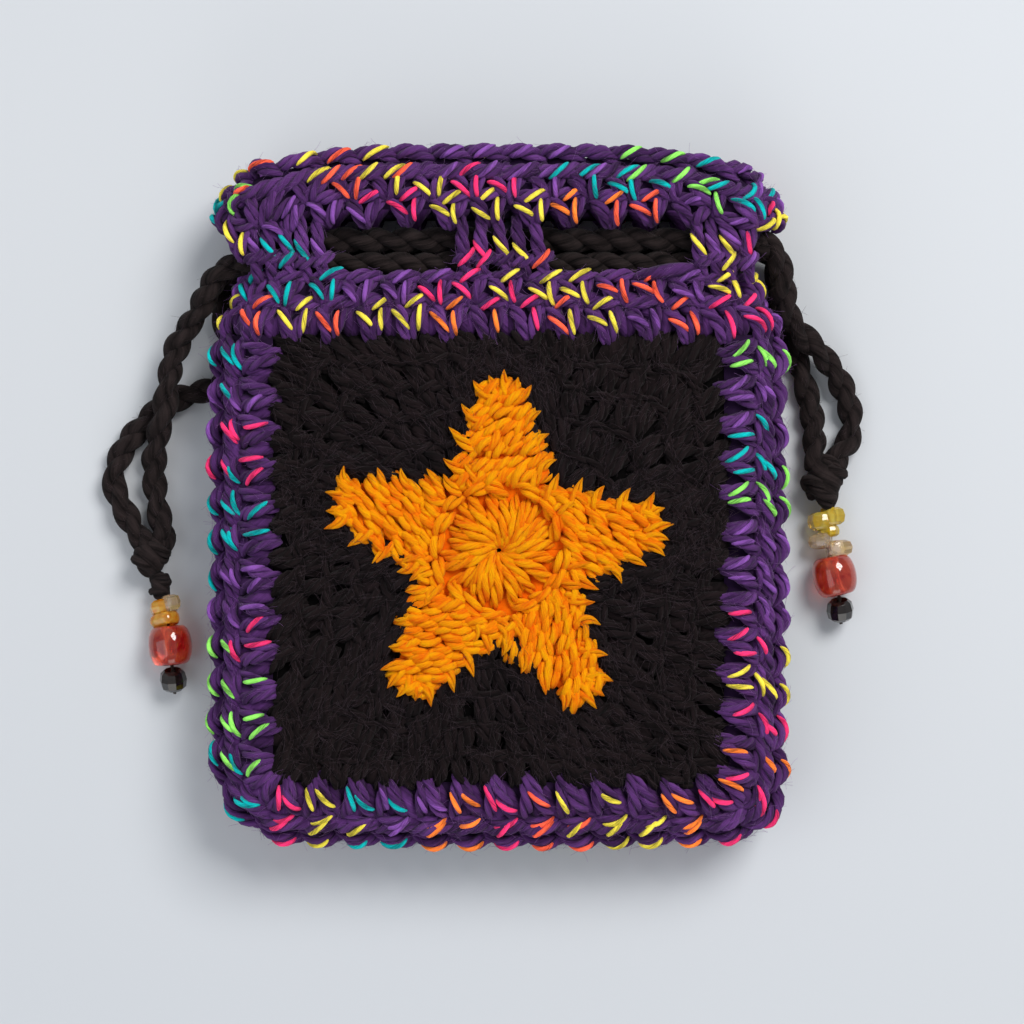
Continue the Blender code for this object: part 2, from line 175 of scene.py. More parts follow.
def tubes(lines, ups, radii, sides, dye):
    """Closed tubes along many lines: a ring of points round each point of each line, and a pole at
    each end. Position = line + radius (cos a outward + sin a sideways). The texture runs along the
    yarn in millimetres and once round it. dye is a colour for each line or for each point."""
    count, steps, _ = lines.shape
    radii = np.broadcast_to(radii, (count, steps))
    forward, outward, sideways = line_frames(lines, ups)
    turn = np.arange(sides) * 2 * np.pi / sides
    ring = (outward[:, :, None] * np.cos(turn)[:, None] + sideways[:, :, None] * np.sin(turn)[:, None])
    rings = lines[:, :, None] + ring * radii[:, :, None, None]
    first = lines[:, 0] - forward[:, 0] * radii[:, :1] * 0.6
    last = lines[:, -1] + forward[:, -1] * radii[:, -1:] * 0.6
    points = np.concatenate([rings.reshape(count, -1, 3), first[:, None], last[:, None]], axis=1)
    each = steps * sides + 2
    i, j = np.meshgrid(np.arange(steps - 1), np.arange(sides), indexing="ij")
    after = (j + 1) % sides
    quads = np.stack([i * sides + j, i * sides + after, (i + 1) * sides + after, (i + 1) * sides + j], -1)
    round_first = np.stack([np.full(sides, steps * sides), after[0], j[0]], -1)
    end = (steps - 1) * sides
    round_last = np.stack([np.full(sides, steps * sides + 1), end + j[0], end + after[0]], -1)
    offset = (np.arange(count) * each)[:, None, None]
    run = run_along(lines) / mm + chance.random((count, 1)) * 40
    u = np.stack([run[:, i], run[:, i], run[:, i + 1], run[:, i + 1]], -1)
    v = np.broadcast_to(np.stack([j, j + 1, j + 1, j], -1) / sides, u.shape)
    cap_v = np.stack([j[0] + 0.5, j[0] + 1, j[0]], -1) / sides
    cap_u = np.broadcast_to(run[:, :1, None], (count, sides, 3))
    end_u = np.broadcast_to(run[:, -1:, None], (count, sides, 3))
    uv = [np.stack([u, v], -1).reshape(-1, 2),
          np.stack([cap_u, np.broadcast_to(cap_v, cap_u.shape)], -1).reshape(-1, 2),
          np.stack([end_u, np.broadcast_to(cap_v[:, [0, 2, 1]], end_u.shape)], -1).reshape(-1, 2)]
    dye = np.asarray(dye, float)
    if dye.ndim == 1:
        dye = np.broadcast_to(dye, (count, 4))
    if dye.ndim == 2:
        dye = np.broadcast_to(dye[:, None], (count, steps, 4))
    rings_dye = np.repeat(dye, sides, axis=1)
    colours = np.concatenate([rings_dye, dye[:, :1], dye[:, -1:]], axis=1)
    return (points.reshape(-1, 3), (quads.reshape(1, -1, 4) + offset).reshape(-1, 4),
            np.concatenate([(round_first[None] + offset).reshape(-1, 3),
                            (round_last[None] + offset).reshape(-1, 3)]),
            uv[0], np.concatenate(uv[1:]), colours.reshape(-1, 4))


def piece_from(name, bundles, surface):
    """One mesh object from several bundles of tubes, with its texture map and its dye colours."""
    starts = np.cumsum([0] + [len(b[0]) for b in bundles])
    points = np.concatenate([b[0] for b in bundles])
    points[:, 2] = np.maximum(points[:, 2], ON_TABLE)
    quads = np.concatenate([b[1] + s for b, s in zip(bundles, starts)])
    threes = np.concatenate([b[2] + s for b, s in zip(bundles, starts)])
    uv = np.concatenate([b[3] for b in bundles] + [b[4] for b in bundles])
    colours = np.concatenate([b[5] for b in bundles])
    mesh = bpy.data.meshes.new(name)
    mesh.vertices.add(len(points))
    mesh.vertices.foreach_set("co", points.astype(np.float32).ravel())
    mesh.loops.add(quads.size + threes.size)
    mesh.loops.foreach_set("vertex_index", np.concatenate([quads.ravel(), threes.ravel()]).astype(np.int32))
    mesh.polygons.add(len(quads) + len(threes))
    begin = np.concatenate([np.arange(len(quads)) * 4, quads.size + np.arange(len(threes)) * 3])
    mesh.polygons.foreach_set("loop_start", begin.astype(np.int32))
    mesh.update(calc_edges=True)
    layer = mesh.uv_layers.new(name="yarn")
    layer.data.foreach_set("uv", uv.astype(np.float32).ravel())
    dyed = mesh.color_attributes.new("dye", "FLOAT_COLOR", "POINT")
    dyed.data.foreach_set("color", colours.astype(np.float32).ravel())
    mesh.shade_smooth()
    mesh.materials.append(surface)
    made = bpy.data.objects.new(name, mesh)
    scene.collection.objects.link(made)
    return made


def front_height(x, y):
    """Height in metres of the front fabric's middle at a place in mm: level at its edges, puffed up
    inside as the product of 1 - (distance / 46) squared in X and in Y, with dimples of sines."""
    puff = np.clip(1 - (x / 46) ** 2, 0, 1) * np.clip(1 - ((y + 13) / 46) ** 2, 0, 1)
    dimple = np.sin(x * 0.11 + 1.3) * np.sin(y * 0.13 + 0.4) + 0.6 * np.sin(x * 0.21 - y * 0.17)
    return (18.2 + 1.1 * puff + 0.22 * dimple * puff) * mm


def on_front(u, v):
    """The front fabric's middle at a place in mm."""
    return np.stack([u * mm, v * mm, front_height(u, v)], -1)


def lay_on(fabric, strokes, outward=1):
    """Strokes (line, point, (u, v, height) in mm) laid on a fabric: its point at (u, v), moved along
    the normal there, which is the cross product of its two slopes."""
    u, v, height = strokes[..., 0], strokes[..., 1], strokes[..., 2]
    step = 0.25
    along = fabric(u + step, v) - fabric(u - step, v)
    across = fabric(u, v + step) - fabric(u, v - step)
    normal = unit(np.cross(along, across)) * outward
    return fabric(u, v) + normal * height[..., None] * mm, normal


def arched(starts, ends, low, high, steps, bow=0.0):
    """Strokes from starts to ends (line, 2), rising from low to high at the middle as a sine and
    bowing sideways by bow."""
    t = np.linspace(0, 1, steps)
    starts, ends = np.asarray(starts, float), np.asarray(ends, float)
    flat = starts[:, None] + (ends - starts)[:, None] * t[:, None]
    side = unit(np.stack([-(ends - starts)[:, 1], (ends - starts)[:, 0]], -1))
    hump = np.sin(np.pi * t)
    bow = np.broadcast_to(bow, len(starts))
    flat = flat + side[:, None] * (hump[:, None] * bow[:, None, None])
    low, high = np.broadcast_to(low, len(starts)), np.broadcast_to(high, len(starts))
    height = low[:, None] + (high - low)[:, None] * hump
    return np.concatenate([flat, height[..., None]], -1)


def tapered(steps, ends):
    """A yarn's thickness along a stroke, 1 at its middle: ends + (1 - ends) times the sine to the 0.6."""
    t = np.linspace(0, 1, steps)
    return ends + (1.0 - ends) * np.sin(np.pi * t) ** 0.6


def plied(lines, ups, radii, pitch, sides, dye):
    """A yarn as separate plies: each is a thinner tube on a helix of that pitch round the stroke,
    angle = start - 2 pi distance / pitch."""
    count, steps, _ = lines.shape
    radii = np.broadcast_to(radii, (count, steps))
    _, outward, sideways = line_frames(lines, ups)
    run = run_along(lines)
    begin = chance.random((count, 1)) * 2 * np.pi
    bundles = []
    for ply in range(PLIES):
        angle = begin + ply * 2 * np.pi / PLIES - run * 2 * np.pi / pitch
        path = lines + round_about(angle, outward, sideways) * (radii * PLY_OFFSET)[..., None]
        bundles.append(tubes(path, ups, radii * PLY_THICKNESS, sides, dye))
    return bundles


STAR_CENTRE = np.array((0.1, -9.8))  # mm
# Each arm's direction in degrees, its reach in mm, and how many degrees its stitches lean from it
STAR_ARMS = ((89, 31.2, 62), (162.5, 31.6, 52), (236, 31.2, 68), (301.5, 31.8, 60), (369.0, 30.4, 64))
ARM_DIRECTIONS = np.array([arm[0] for arm in STAR_ARMS])
STROKE_STEPS, SPIKE_STEPS = 13, 12  # points along a stroke


def polar(radius, degrees):
    """The place at a radius in mm and a direction: centre + radius (cosine, sine)."""
    angle = np.radians(degrees)
    return np.stack([radius * np.cos(angle), radius * np.sin(angle)], -1) + STAR_CENTRE


def from_arm(degrees):
    """Degrees from each direction to the nearest arm's."""
    return np.abs((np.asarray(degrees)[..., None] - ARM_DIRECTIONS + 180) % 360 - 180).min(-1)


def beside_arm(degrees, half, nearest, farthest):
    """Radius at which each direction leaves an arm of this half width, half / sine, within limits."""
    return np.clip(half / np.maximum(np.sin(np.radians(from_arm(degrees))), 1e-3), nearest, farthest)


def arm_rows(reach):
    """Radius at which each of the four rows of an arm begins."""
    return np.linspace(11.9, reach - 6.2, 4)


def pentagon(degrees, across):
    """Radius, at these directions, of a softly cornered pentagon whose flats face the arms: it swells
    by up to 0.075 as (1 - cosine of five times the angle from the arm) / 2."""
    return across * (1 + 0.075 * (1 - np.cos(np.radians(from_arm(degrees) * 5))) / 2)


def star_strokes():
    """The star's yarn as strokes with their radii: tall stitches from the small hole in its middle,
    two rounds of slanting links, and on each arm four narrowing rows of leaning links."""
    found = []

    def put(starts, ends, low, high, radius, bow=0.0):
        """Adds these strokes, with a radius in mm for all of them or for each."""
        strokes = arched(starts, ends, low, high, STROKE_STEPS, bow)
        found.append((strokes, np.broadcast_to(radius, len(strokes))))

    legs = 26
    around = np.arange(legs) * 360 / legs + chance.normal(0, 2.2, legs)
    turned = around - 9
    heads = polar(pentagon(turned, 9.9) + chance.normal(0, 0.4, legs), turned)
    put(polar(np.full(legs, 0.7), around), heads, 0.1, 1.5 + 0.4 * (np.arange(legs) % 2),
        chance.normal(1.32, 0.07, legs), bow=chance.normal(0.2, 0.35, legs))
    for links, radius, lean, level in ((16, 10.7, -22, 1.6), (18, 13.0, 24, 1.4)):
        around = (np.arange(links) + chance.normal(0, 0.14, links)) * 360 / links
        middle = polar(pentagon(around, radius), around)
        run = np.radians(around + 90 + lean + chance.normal(0, 9, links))
        reached = 2.8 * np.stack([np.cos(run), np.sin(run)], -1)
        put(middle - reached, middle + reached, 0.0, chance.normal(level, 0.15, links),
            chance.normal(1.45, 0.08, links), bow=chance.normal(-0.3, 0.2, links))
    for degrees, reach, lean in STAR_ARMS:
        along = np.array((np.cos(np.radians(degrees)), np.sin(np.radians(degrees))))
        across = np.array((along[1], -along[0]))
        bottoms = arm_rows(reach)
        height = bottoms[1] - bottoms[0]
        for bottom, half in zip(bottoms, (7.8, 6.4, 5.0, 3.2)):
            for level, count in ((0.25, int(half / 1.25)), (0.75, max(3, int(half / 1.45)))):
                x = np.linspace(1.2 - half, half - 1.2, count) + chance.normal(0, 0.2, count)
                middle = (STAR_CENTRE + along * (bottom + level * height + chance.normal(0, 0.25, (count, 1)))
                          + x[:, None] * across)
                tilt = np.radians(lean + chance.normal(0, 9, count))[:, None]
                reached = 2.9 * (np.cos(tilt) * along + np.sin(tilt) * across)
                put(middle - reached, middle + reached, -0.3, chance.normal(1.55, 0.2, count),
                    chance.normal(1.48, 0.08, count), bow=chance.normal(0.3, 0.3, count))
    return found


def star_spikes():
    """The loops pulled out to points among the black stitches, one a side on each row of an arm,
    three at its tip and three in each valley: strokes that rise as they run outwards."""
    bases, points = [], []
    for degrees, reach, _ in STAR_ARMS:
        angle = np.radians(degrees)
        turned = np.array([[np.cos(angle), np.sin(angle)], [np.sin(angle), -np.cos(angle)]])
        bottoms = arm_rows(reach) + 0.8
        half = np.array((7.8, 6.4, 5.0, 3.4))
        for side in (-1, 1):
            base = np.stack([bottoms + 0.4, side * (half - 1.6)], -1)
            outwards = bottoms + 3.6 + chance.normal(0, 0.4, 4)
            point = np.stack([outwards, side * (half + 2.1 + chance.normal(0, 0.4, 4))], -1)
            bases.append(STAR_CENTRE + base @ turned)
            points.append(STAR_CENTRE + point @ turned)
        base = np.array([[reach - 4.4, -1.2], [reach - 4.4, 0.2], [reach - 4.6, 1.4]])
        point = np.array([[reach - 0.4, -2.6], [reach + 0.6, 0.3], [reach - 0.6, 3.0]])
        bases.append(STAR_CENTRE + base @ turned)
        points.append(STAR_CENTRE + (point + chance.normal(0, 0.3, (3, 2))) @ turned)
    ordered = np.sort(ARM_DIRECTIONS % 360)
    valleys = (ordered + np.append(ordered[1:], ordered[0] + 360)) / 2
    around = (valleys[:, None] + np.array((-14, 0, 14))).ravel()
    bases.append(polar(12.2, around))
    points.append(polar(16.9 + chance.normal(0, 0.5, len(around)), around + chance.normal(0, 3, len(around))))
    bases, points = np.concatenate(bases), np.concatenate(points)
    strokes = arched(bases, points, 0.0, 0.35, SPIKE_STEPS, chance.normal(0, 0.45, len(bases)))
    strokes[..., 2] += np.linspace(1.2, 2.3, SPIKE_STEPS)
    return strokes


def object_from(name, points, faces, surface):
    """A new object of this surface from a grid of points in metres and faces by their numbers."""
    mesh = bpy.data.meshes.new(name)
    mesh.from_pydata(points.reshape(-1, 3).tolist(), [], faces.tolist())
    mesh.update()
    mesh.materials.append(surface)
    made = bpy.data.objects.new(name, mesh)
    scene.collection.objects.link(made)
    return made


def under_sheet(name, points, inside, thickness, surface, closed=False):
    """The dense fabric under the stitches: a grid of points (row, column) given a thickness away from
    its outer face. inside is a point that the outer face looks away from."""
    rows, columns, _ = points.shape
    across = columns if closed else columns - 1
    i, j = np.meshgrid(np.arange(rows - 1), np.arange(across), indexing="ij")
    after = (j + 1) % columns
    faces = np.stack([i * columns + j, i * columns + after, (i + 1) * columns + after,
                      (i + 1) * columns + j], -1).reshape(-1, 4)
    corners = points.reshape(-1, 3)[faces]
    normals = np.cross(corners[:, 1] - corners[:, 0], corners[:, 3] - corners[:, 0])
    if (normals * (corners.mean(1) - np.asarray(inside))).sum() < 0:
        faces = faces[:, ::-1]
    made = object_from(name, points, faces, surface)
    made.data.shade_smooth()
    shell = made.modifiers.new("thickness", "SOLIDIFY")
    shell.thickness = thickness
    shell.offset = -1
    return made


def noise(nodes, links, vector, scale, detail):
    """A noise texture of this scale and detail, read at this vector."""
    made = nodes.new("ShaderNodeTexNoise")
    made.inputs["Scale"].default_value = scale
    made.inputs["Detail"].default_value = detail
    links.new(vector, made.inputs["Vector"])
    return made


def two_tones(nodes, first, low, last, high):
    """A ramp from the low colour at the first value to the high colour at the last."""
    ramp = nodes.new("ShaderNodeValToRGB")
    for element, place, colour in zip(ramp.color_ramp.elements, (first, last), (low, high)):
        element.position = place
        element.color = (*colour, 1)
    return ramp


# Painted shade in the crevices between plies and painted highlight on their streaks, as multiples of the
# yarn's own dye
DYE_IN_PAINTED_SHADE, DYE_IN_PAINTED_HIGHLIGHT = (0.16, 0.14, 0.18), (2.1, 2.0, 2.1)  # times the yarn's own dye


def yarn_material(name, shadow, light, roughness, plies, sheen, dyed=False):
    """Spun cotton: fine plies and fibres wound round the yarn as a bump and as a painted tone, from
    painted shade in the crevices between the plies to painted highlight on lighter streaks along them,
    in light and dark patches, with a soft sheen. Where dyed, that painted tone is multiplied by the
    yarn's own dye."""
    made, nodes, links, shader = plain_material(name, light, roughness)
    uv = nodes.new("ShaderNodeUVMap")
    uv.uv_map = "yarn"
    split = nodes.new("ShaderNodeSeparateXYZ")
    links.new(uv.outputs["UV"], split.inputs["Vector"])

    def maths(operation, *values):
        """The output of a maths node fed with these numbers and sockets."""
        node = nodes.new("ShaderNodeMath")
        node.operation = operation
        for socket, value in zip(node.inputs, values):
            if isinstance(value, (int, float)):
                socket.default_value = value
            else:
                links.new(value, socket)
        return node.outputs[0]

    turn = maths("ADD", maths("MULTIPLY", split.outputs["X"], 0.1), split.outputs["Y"])
    ply = maths("ABSOLUTE", maths("SINE", maths("MULTIPLY", turn, np.pi * plies)))
    angle = maths("MULTIPLY", turn, 2 * np.pi)
    wrapped = nodes.new("ShaderNodeCombineXYZ")
    links.new(maths("MULTIPLY", maths("COSINE", angle), 2.8), wrapped.inputs["X"])
    links.new(maths("MULTIPLY", maths("SINE", angle), 2.8), wrapped.inputs["Y"])
    links.new(maths("MULTIPLY", split.outputs["X"], 0.28), wrapped.inputs["Z"])
    streaks = noise(nodes, links, wrapped.outputs["Vector"], 1.0, 3)
    streaks.inputs["Roughness"].default_value = 0.65
    where = nodes.new("ShaderNodeTexCoord").outputs["Object"]
    fibres = noise(nodes, links, where, 2600, 2)
    patches = noise(nodes, links, where, 420, 2)
    relief = maths("ADD", maths("MULTIPLY", ply, 0.55),
                   maths("ADD", maths("MULTIPLY", streaks.outputs["Fac"], 1.5),
                         maths("MULTIPLY", fibres.outputs["Fac"], 0.25)))
    # The tone paints shade into the crevices between plies and lighter sheen streaks along them, plus random
    # patches
    tone = maths("ADD", maths("MULTIPLY", relief, 0.62),
                 maths("MULTIPLY", maths("SUBTRACT", patches.outputs["Fac"], 0.5), 0.45))
    if dyed:
        ramp = two_tones(nodes, 0.36, DYE_IN_PAINTED_SHADE, 1.0, DYE_IN_PAINTED_HIGHLIGHT)
        dye = nodes.new("ShaderNodeAttribute")
        dye.attribute_name = "dye"
        mixed = nodes.new("ShaderNodeMix")
        mixed.data_type = "RGBA"
        mixed.blend_type = "MULTIPLY"
        mixed.inputs["Factor"].default_value = 1
        links.new(dye.outputs["Color"], mixed.inputs["A"])
        links.new(ramp.outputs["Color"], mixed.inputs["B"])
        links.new(mixed.outputs["Result"], shader.inputs["Base Color"])
    else:
        ramp = two_tones(nodes, 0.36, shadow, 1.0, light)
        links.new(ramp.outputs["Color"], shader.inputs["Base Color"])
    links.new(tone, ramp.inputs["Fac"])
    bump = nodes.new("ShaderNodeBump")
    bump.inputs["Strength"].default_value = 0.85
    bump.inputs["Distance"].default_value = 0.3 * mm
    links.new(relief, bump.inputs["Height"])
    links.new(bump.outputs["Normal"], shader.inputs["Normal"])
    shader.inputs["Sheen Weight"].default_value = sheen
    shader.inputs["Sheen Roughness"].default_value = 0.45
    shader.inputs["Specular IOR Level"].default_value = 0.1
    return made


orange_yarn = yarn_material("orange_yarn", linear(240, 86, 0), linear(255, 174, 0), 0.85, 1, 0.02)
# The star's core is painted a darker orange than its yarn: painted shade in the gaps between the stitches
orange_core = yarn_material("orange_core", linear(222, 80, 0), linear(250, 134, 0), 0.9, 2, 0.0)
BAG_MIDDLE = (0.0, -10 * mm, 10 * mm)

bundles = []
for strokes, radius in star_strokes():
    lines, ups = lay_on(on_front, strokes)
    bundles += plied(lines, ups, tapered(STROKE_STEPS, 0.5) * radius[:, None] * mm, LAY, 6, WHITE)
lines, ups = lay_on(on_front, star_spikes())
pointed = 1 - 0.95 * np.linspace(0, 1, SPIKE_STEPS) ** 2
bundles += plied(lines, ups, 1.25 * pointed * mm, SPIKE_LAY, 6, WHITE)
star = piece_from("star_yarn", bundles, orange_yarn)
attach(star, "bag")
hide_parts("star_motif")

turn, rise = np.meshgrid(np.linspace(0, 360, 181), np.linspace(0.04, 1, 12))
flat = polar(beside_arm(turn, 4.2, 14.2, 27.0) * rise, turn)
core = under_sheet("star_core", on_front(flat[..., 0], flat[..., 1]) + (0, 0, 0.5 * mm), BAG_MIDDLE,
                   1.4 * mm, orange_core)
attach(core, "bag")

# ---------------------------------------------------------------- the black panel
# Round the star, the same fabric goes on in fuzzy black yarn: five rounds of tall stitches that
# stand out from the star, long in its valleys and short at its tips, until the outline is square.
# A second layer lies below in the gaps between their legs.

FIELD = {"half": 40.3, "bottom": -51.4, "top": 28.3}  # mm: half width, and the two edges in Y
BLACK_STEPS = 8  # points along a stroke
LINT_THICKNESS = 0.02 * mm


def square_radius(degrees):
    """Distance from the star's centre to the panel's edge in these directions: the smaller of the
    side's distance / cosine and the upper or lower edge's distance / sine."""
    angle = np.radians(degrees)
    cosine, sine = np.cos(angle), np.sin(angle)
    side = np.where(cosine > 0, FIELD["half"] - STAR_CENTRE[0], FIELD["half"] + STAR_CENTRE[0])
    level = np.where(sine > 0, FIELD["top"] - STAR_CENTRE[1], STAR_CENTRE[1] - FIELD["bottom"])
    return np.minimum(side / np.maximum(np.abs(cosine), 1e-3), level / np.maximum(np.abs(sine), 1e-3))


def star_edge(degrees):
    """Radius at which the black stitches begin: just under the star's spikes."""
    return beside_arm(degrees, 5.6, 15.2, 29.4)


def evenly_round(radius_at, spacing, shift=0.0):
    """Directions in degrees of points at even distances along a closed outline."""
    turn = np.linspace(0, 360, 1441)
    run = run_along(polar(radius_at(turn), turn))
    count = int(run[-1] / spacing)
    return np.interp((np.arange(count) + shift) % count * run[-1] / count, run, turn)


def black_strokes():
    """Tall stitches in rounds between the star and the square, in two layers, the lower one
    filling between the legs of the upper one, and the chain tops between rounds."""
    rounds = 5
    found = []

    def ring(turn, share):
        """Radius at a share of the way from the star's edge to the panel's."""
        return star_edge(turn) * (1 - share) + (square_radius(turn) - 0.6) * share

    for row in range(rounds):
        low, high = row / rounds, (row + 1) / rounds
        for layer, (level, spacing) in enumerate(((0.85, 2.35), (-0.35, 2.6))):
            around = evenly_round(lambda turn: ring(turn, (low + high) / 2), spacing,
                                  0.5 * ((row + layer) % 2))
            n = len(around)
            around = around + chance.normal(0, 0.8, n)
            lean = np.where(np.arange(n) % 2 == 0, -1.3, 2.2) + chance.normal(0, 1.2, n)
            foot = polar(ring(around, low) - 0.9, around)
            head = polar(ring(around + lean, high) + 0.8 + chance.normal(0, 0.4, n), around + lean)
            strokes = arched(foot, head, level - 1.45, chance.normal(level, 0.25, n), BLACK_STEPS,
                             chance.normal(0, 0.4, n))
            found.append((strokes, chance.normal(1.36, 0.1, n), layer == 0))
        if row == rounds - 1:
            continue
        tops = evenly_round(lambda turn: ring(turn, high), 5.2, 0.3 * row)
        step = 0.6 * 5.6 / ring(tops, high) * 57.3
        strokes = arched(polar(ring(tops, high) - 0.5, tops - step),
                         polar(ring(tops + step, high) + 0.3, tops + step), -0.4, 0.8, BLACK_STEPS, -0.5)
        found.append((strokes, np.full(len(tops), 1.15), True))
    return found


def fibre_lines(yarns, count, length):
    """Fine loose fibres: each starts on the outer side of a yarn, runs along it, lifts off and curls.
    yarns are bundles of lines with their outward directions and their radius in metres."""
    total = sum(len(lines) for lines, _, _ in yarns)
    seats, leans = [], []
    for lines, ups, radius in yarns:
        share = int(count * len(lines) / total)
        forward, outward, sideways = line_frames(lines, ups)
        i, j = chance.integers(0, len(lines), share), chance.integers(2, lines.shape[1] - 2, share)
        angle = chance.uniform(-1.2, 1.2, (share, 1))
        away = round_about(angle[:, 0], outward[i, j], sideways[i, j])
        seats.append(lines[i, j] + away * radius * 0.94)
        leans.append(forward[i, j] * chance.choice((-1.0, 1.0), (share, 1)) + away * 0.3
                     + chance.normal(0, 0.25, (share, 3)))
    seats, leans = np.concatenate(seats), unit(np.concatenate(leans))
    curl = unit(np.cross(leans, chance.normal(0, 1, leans.shape)))
    t = np.linspace(0, 1, 4)[None, :, None]
    long = (length * chance.uniform(0.5, 1.6, len(seats)))[:, None, None]
    lines = seats[:, None] + leans[:, None] * t * long + curl[:, None] * (t**2) * long * 0.3
    return lines, np.broadcast_to(curl[:, None], lines.shape)


def fluff(name, yarns, count, length, thickness, surface):
    """A piece of so many loose fibres, of this length and thickness in metres."""
    return piece_from(name, [tubes(*fibre_lines(yarns, count, length), thickness, 3, WHITE)], surface)


black_yarn = yarn_material("black_yarn", linear(1, 1, 1), linear(35, 26, 28), 1.0, 1, 0.03)
# The panels' core is painted far darker than the black yarn: painted shade in the gaps between the stitches
black_core = yarn_material("black_core", linear(1, 1, 1), linear(12, 9, 10), 1.0, 3, 0.0)
# Loose fibres are painted much lighter than the black yarn: painted sheen
black_fibre_sheen = yarn_material("black_fibre_sheen", linear(58, 48, 54), linear(106, 90, 99), 0.8, 1, 0.0)

upper, lower, yarns = [], [], []
for strokes, radius, on_top in black_strokes():
    lines, ups = lay_on(on_front, strokes)
    radii = tapered(BLACK_STEPS, 0.55) * radius[:, None] * mm
    if on_top:
        upper += plied(lines, ups, radii, BLACK_LAY, 5, WHITE)
        yarns.append((lines, ups, 1.2 * mm))
    else:
        lower.append(tubes(lines, ups, radii, 6, WHITE))
panel = piece_from("black_panel_yarn", upper, black_yarn)
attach(panel, "bag")
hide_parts("front_field")

panel_lower = piece_from("black_panel_lower_yarn", lower, black_yarn)
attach(panel_lower, "bag")
panel_fluff = fluff("black_panel_fluff", yarns, 7800, 2.2 * mm, LINT_THICKNESS, black_fibre_sheen)
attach(panel_fluff, "bag")

turn, rise = np.meshgrid(np.linspace(0, 360, 361), np.linspace(0, 1, 10))
flat = polar(star_edge(turn) * 0.8 * (1 - rise) + square_radius(turn) * rise, turn)
core = under_sheet("black_panel_core", on_front(flat[..., 0], flat[..., 1]) - (0, 0, 0.45 * mm),
                   BAG_MIDDLE, 1.0 * mm, black_core)
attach(core, "bag")

# ---------------------------------------------------------------- the back panel
# A plain square of the same black yarn in rows of single crochet, worked back and forth. It is the
# face the bag lies on, so its stitches are pressed flat.


def on_back(u, v):
    """The back fabric's middle, almost flat on the table."""
    return np.stack([u * mm, v * mm, np.full_like(u, 1.85 * mm)], -1)


def plain_rows(left, right, bottom, top, pitch, height):
    """Rows of single crochet: two legs of a V to a stitch and a bar across the head of each."""
    columns, rows = int((right - left) / pitch), int((top - bottom) / height)
    across = (right - left) / columns
    up = (top - bottom) / rows
    x, y = np.meshgrid(left + across * (np.arange(columns) + 0.5), bottom + up * np.arange(rows))
    x, y = x.ravel() + chance.normal(0, 0.15, x.size), y.ravel() + chance.normal(0, 0.12, y.size)
    n = len(x)
    spot = np.stack([x, y], -1)
    strokes = []
    for foot, side in ((0.0, -0.42), (0.25, 0.47)):
        head = spot + (side * across, 0.92 * up)
        strokes.append(arched(spot + (foot, -0.5), head, -0.9, 0.6, 9, chance.normal(0.1, 0.2, n)))
    ends = spot + (-0.4 * across, 0.9 * up), spot + (0.5 * across, up)
    strokes.append(arched(*ends, -0.7, 0.1, 9, 0.2))
    return np.concatenate(strokes)


strokes = plain_rows(-39.6, 39.6, FIELD["bottom"] + 0.6, FIELD["top"] - 0.4, 6.4, 5.3)
lines, ups = lay_on(on_back, strokes, outward=-1)
bundles = [tubes(lines, ups, tapered(9, 0.6) * 1.12 * mm, 8, WHITE)]
back = piece_from("back_panel_yarn", bundles, black_yarn)
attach(back, "bag")
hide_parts("back_field")
x, y = np.meshgrid(np.linspace(-FIELD["half"], FIELD["half"], 30),
                   np.linspace(FIELD["bottom"], FIELD["top"], 30))
level = np.stack([x * mm, y * mm, np.full_like(x, 2.0 * mm)], -1)
core = under_sheet("back_panel_core", level, BAG_MIDDLE, 1.1 * mm, black_core)
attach(core, "bag")

# ---------------------------------------------------------------- the purple borders
# Round three sides of each panel runs a round of single crochet and a chain edge, in purple cotton
# that has one thin bright ply twisted round it. The bright ply changes colour along its length
# and shows as a short slanting dash wherever it comes to the outside of the yarn.

STITCH = 6.5  # mm along a row from one stitch to the next
# Each rail's half width, bottom, left corner, right corner and sag, in mm
INNER_RAIL = (40.4, -51.4, 3.8, 3.8, 0.0)
MIDDLE_RAIL = (46.0, -56.4, 9.0, 6.0, 0.7)
OUTER_RAIL = (50.0, -60.3, 13.5, 8.0, 1.4)
BORDER_DEPTH = 14.2  # mm over the border's curve from the panel to the seam
DASH_RADIUS, DASH_STEPS = 0.47 * mm, 9
FIBRES_PER_STROKE, FIBRE_LENGTH, FIBRE_THICKNESS = 7, 1.7 * mm, 0.022 * mm


def on_rail(station, rail):
    """A U of two straight sides, two round corners and a sagging bottom: its point at a station
    that runs 0 to 5 through those stretches."""
    half, bottom, left, right, sag = rail
    stretch = np.clip(np.floor(station), 0, 4)
    along = station - stretch
    turn_left, turn_right = np.pi * (1 + along / 2), np.pi * (1.5 + along / 2)
    x = np.select([stretch == 0, stretch == 1, stretch == 2, stretch == 3],
                  [-half + 0 * along, -half + left + left * np.cos(turn_left),
                   -half + left + (2 * half - left - right) * along,
                   half - right + right * np.cos(turn_right)], half)
    y = np.select([stretch == 0, stretch == 1, stretch == 2, stretch == 3],
                  [FIELD["top"] + (bottom + left - FIELD["top"]) * along,
                   bottom + left + left * np.sin(turn_left), bottom + 0 * along,
                   bottom + right + right * np.sin(turn_right)],
                  bottom + right + (FIELD["top"] - bottom - right) * along)
    low = np.clip(y / bottom, 0, None) ** 4
    return x, y - sag * (1 - (x / half) ** 2) * low


STATIONS = np.linspace(0, 5, 1501)
RAIL_RUN = run_along(np.stack(on_rail(STATIONS, MIDDLE_RAIL), -1))


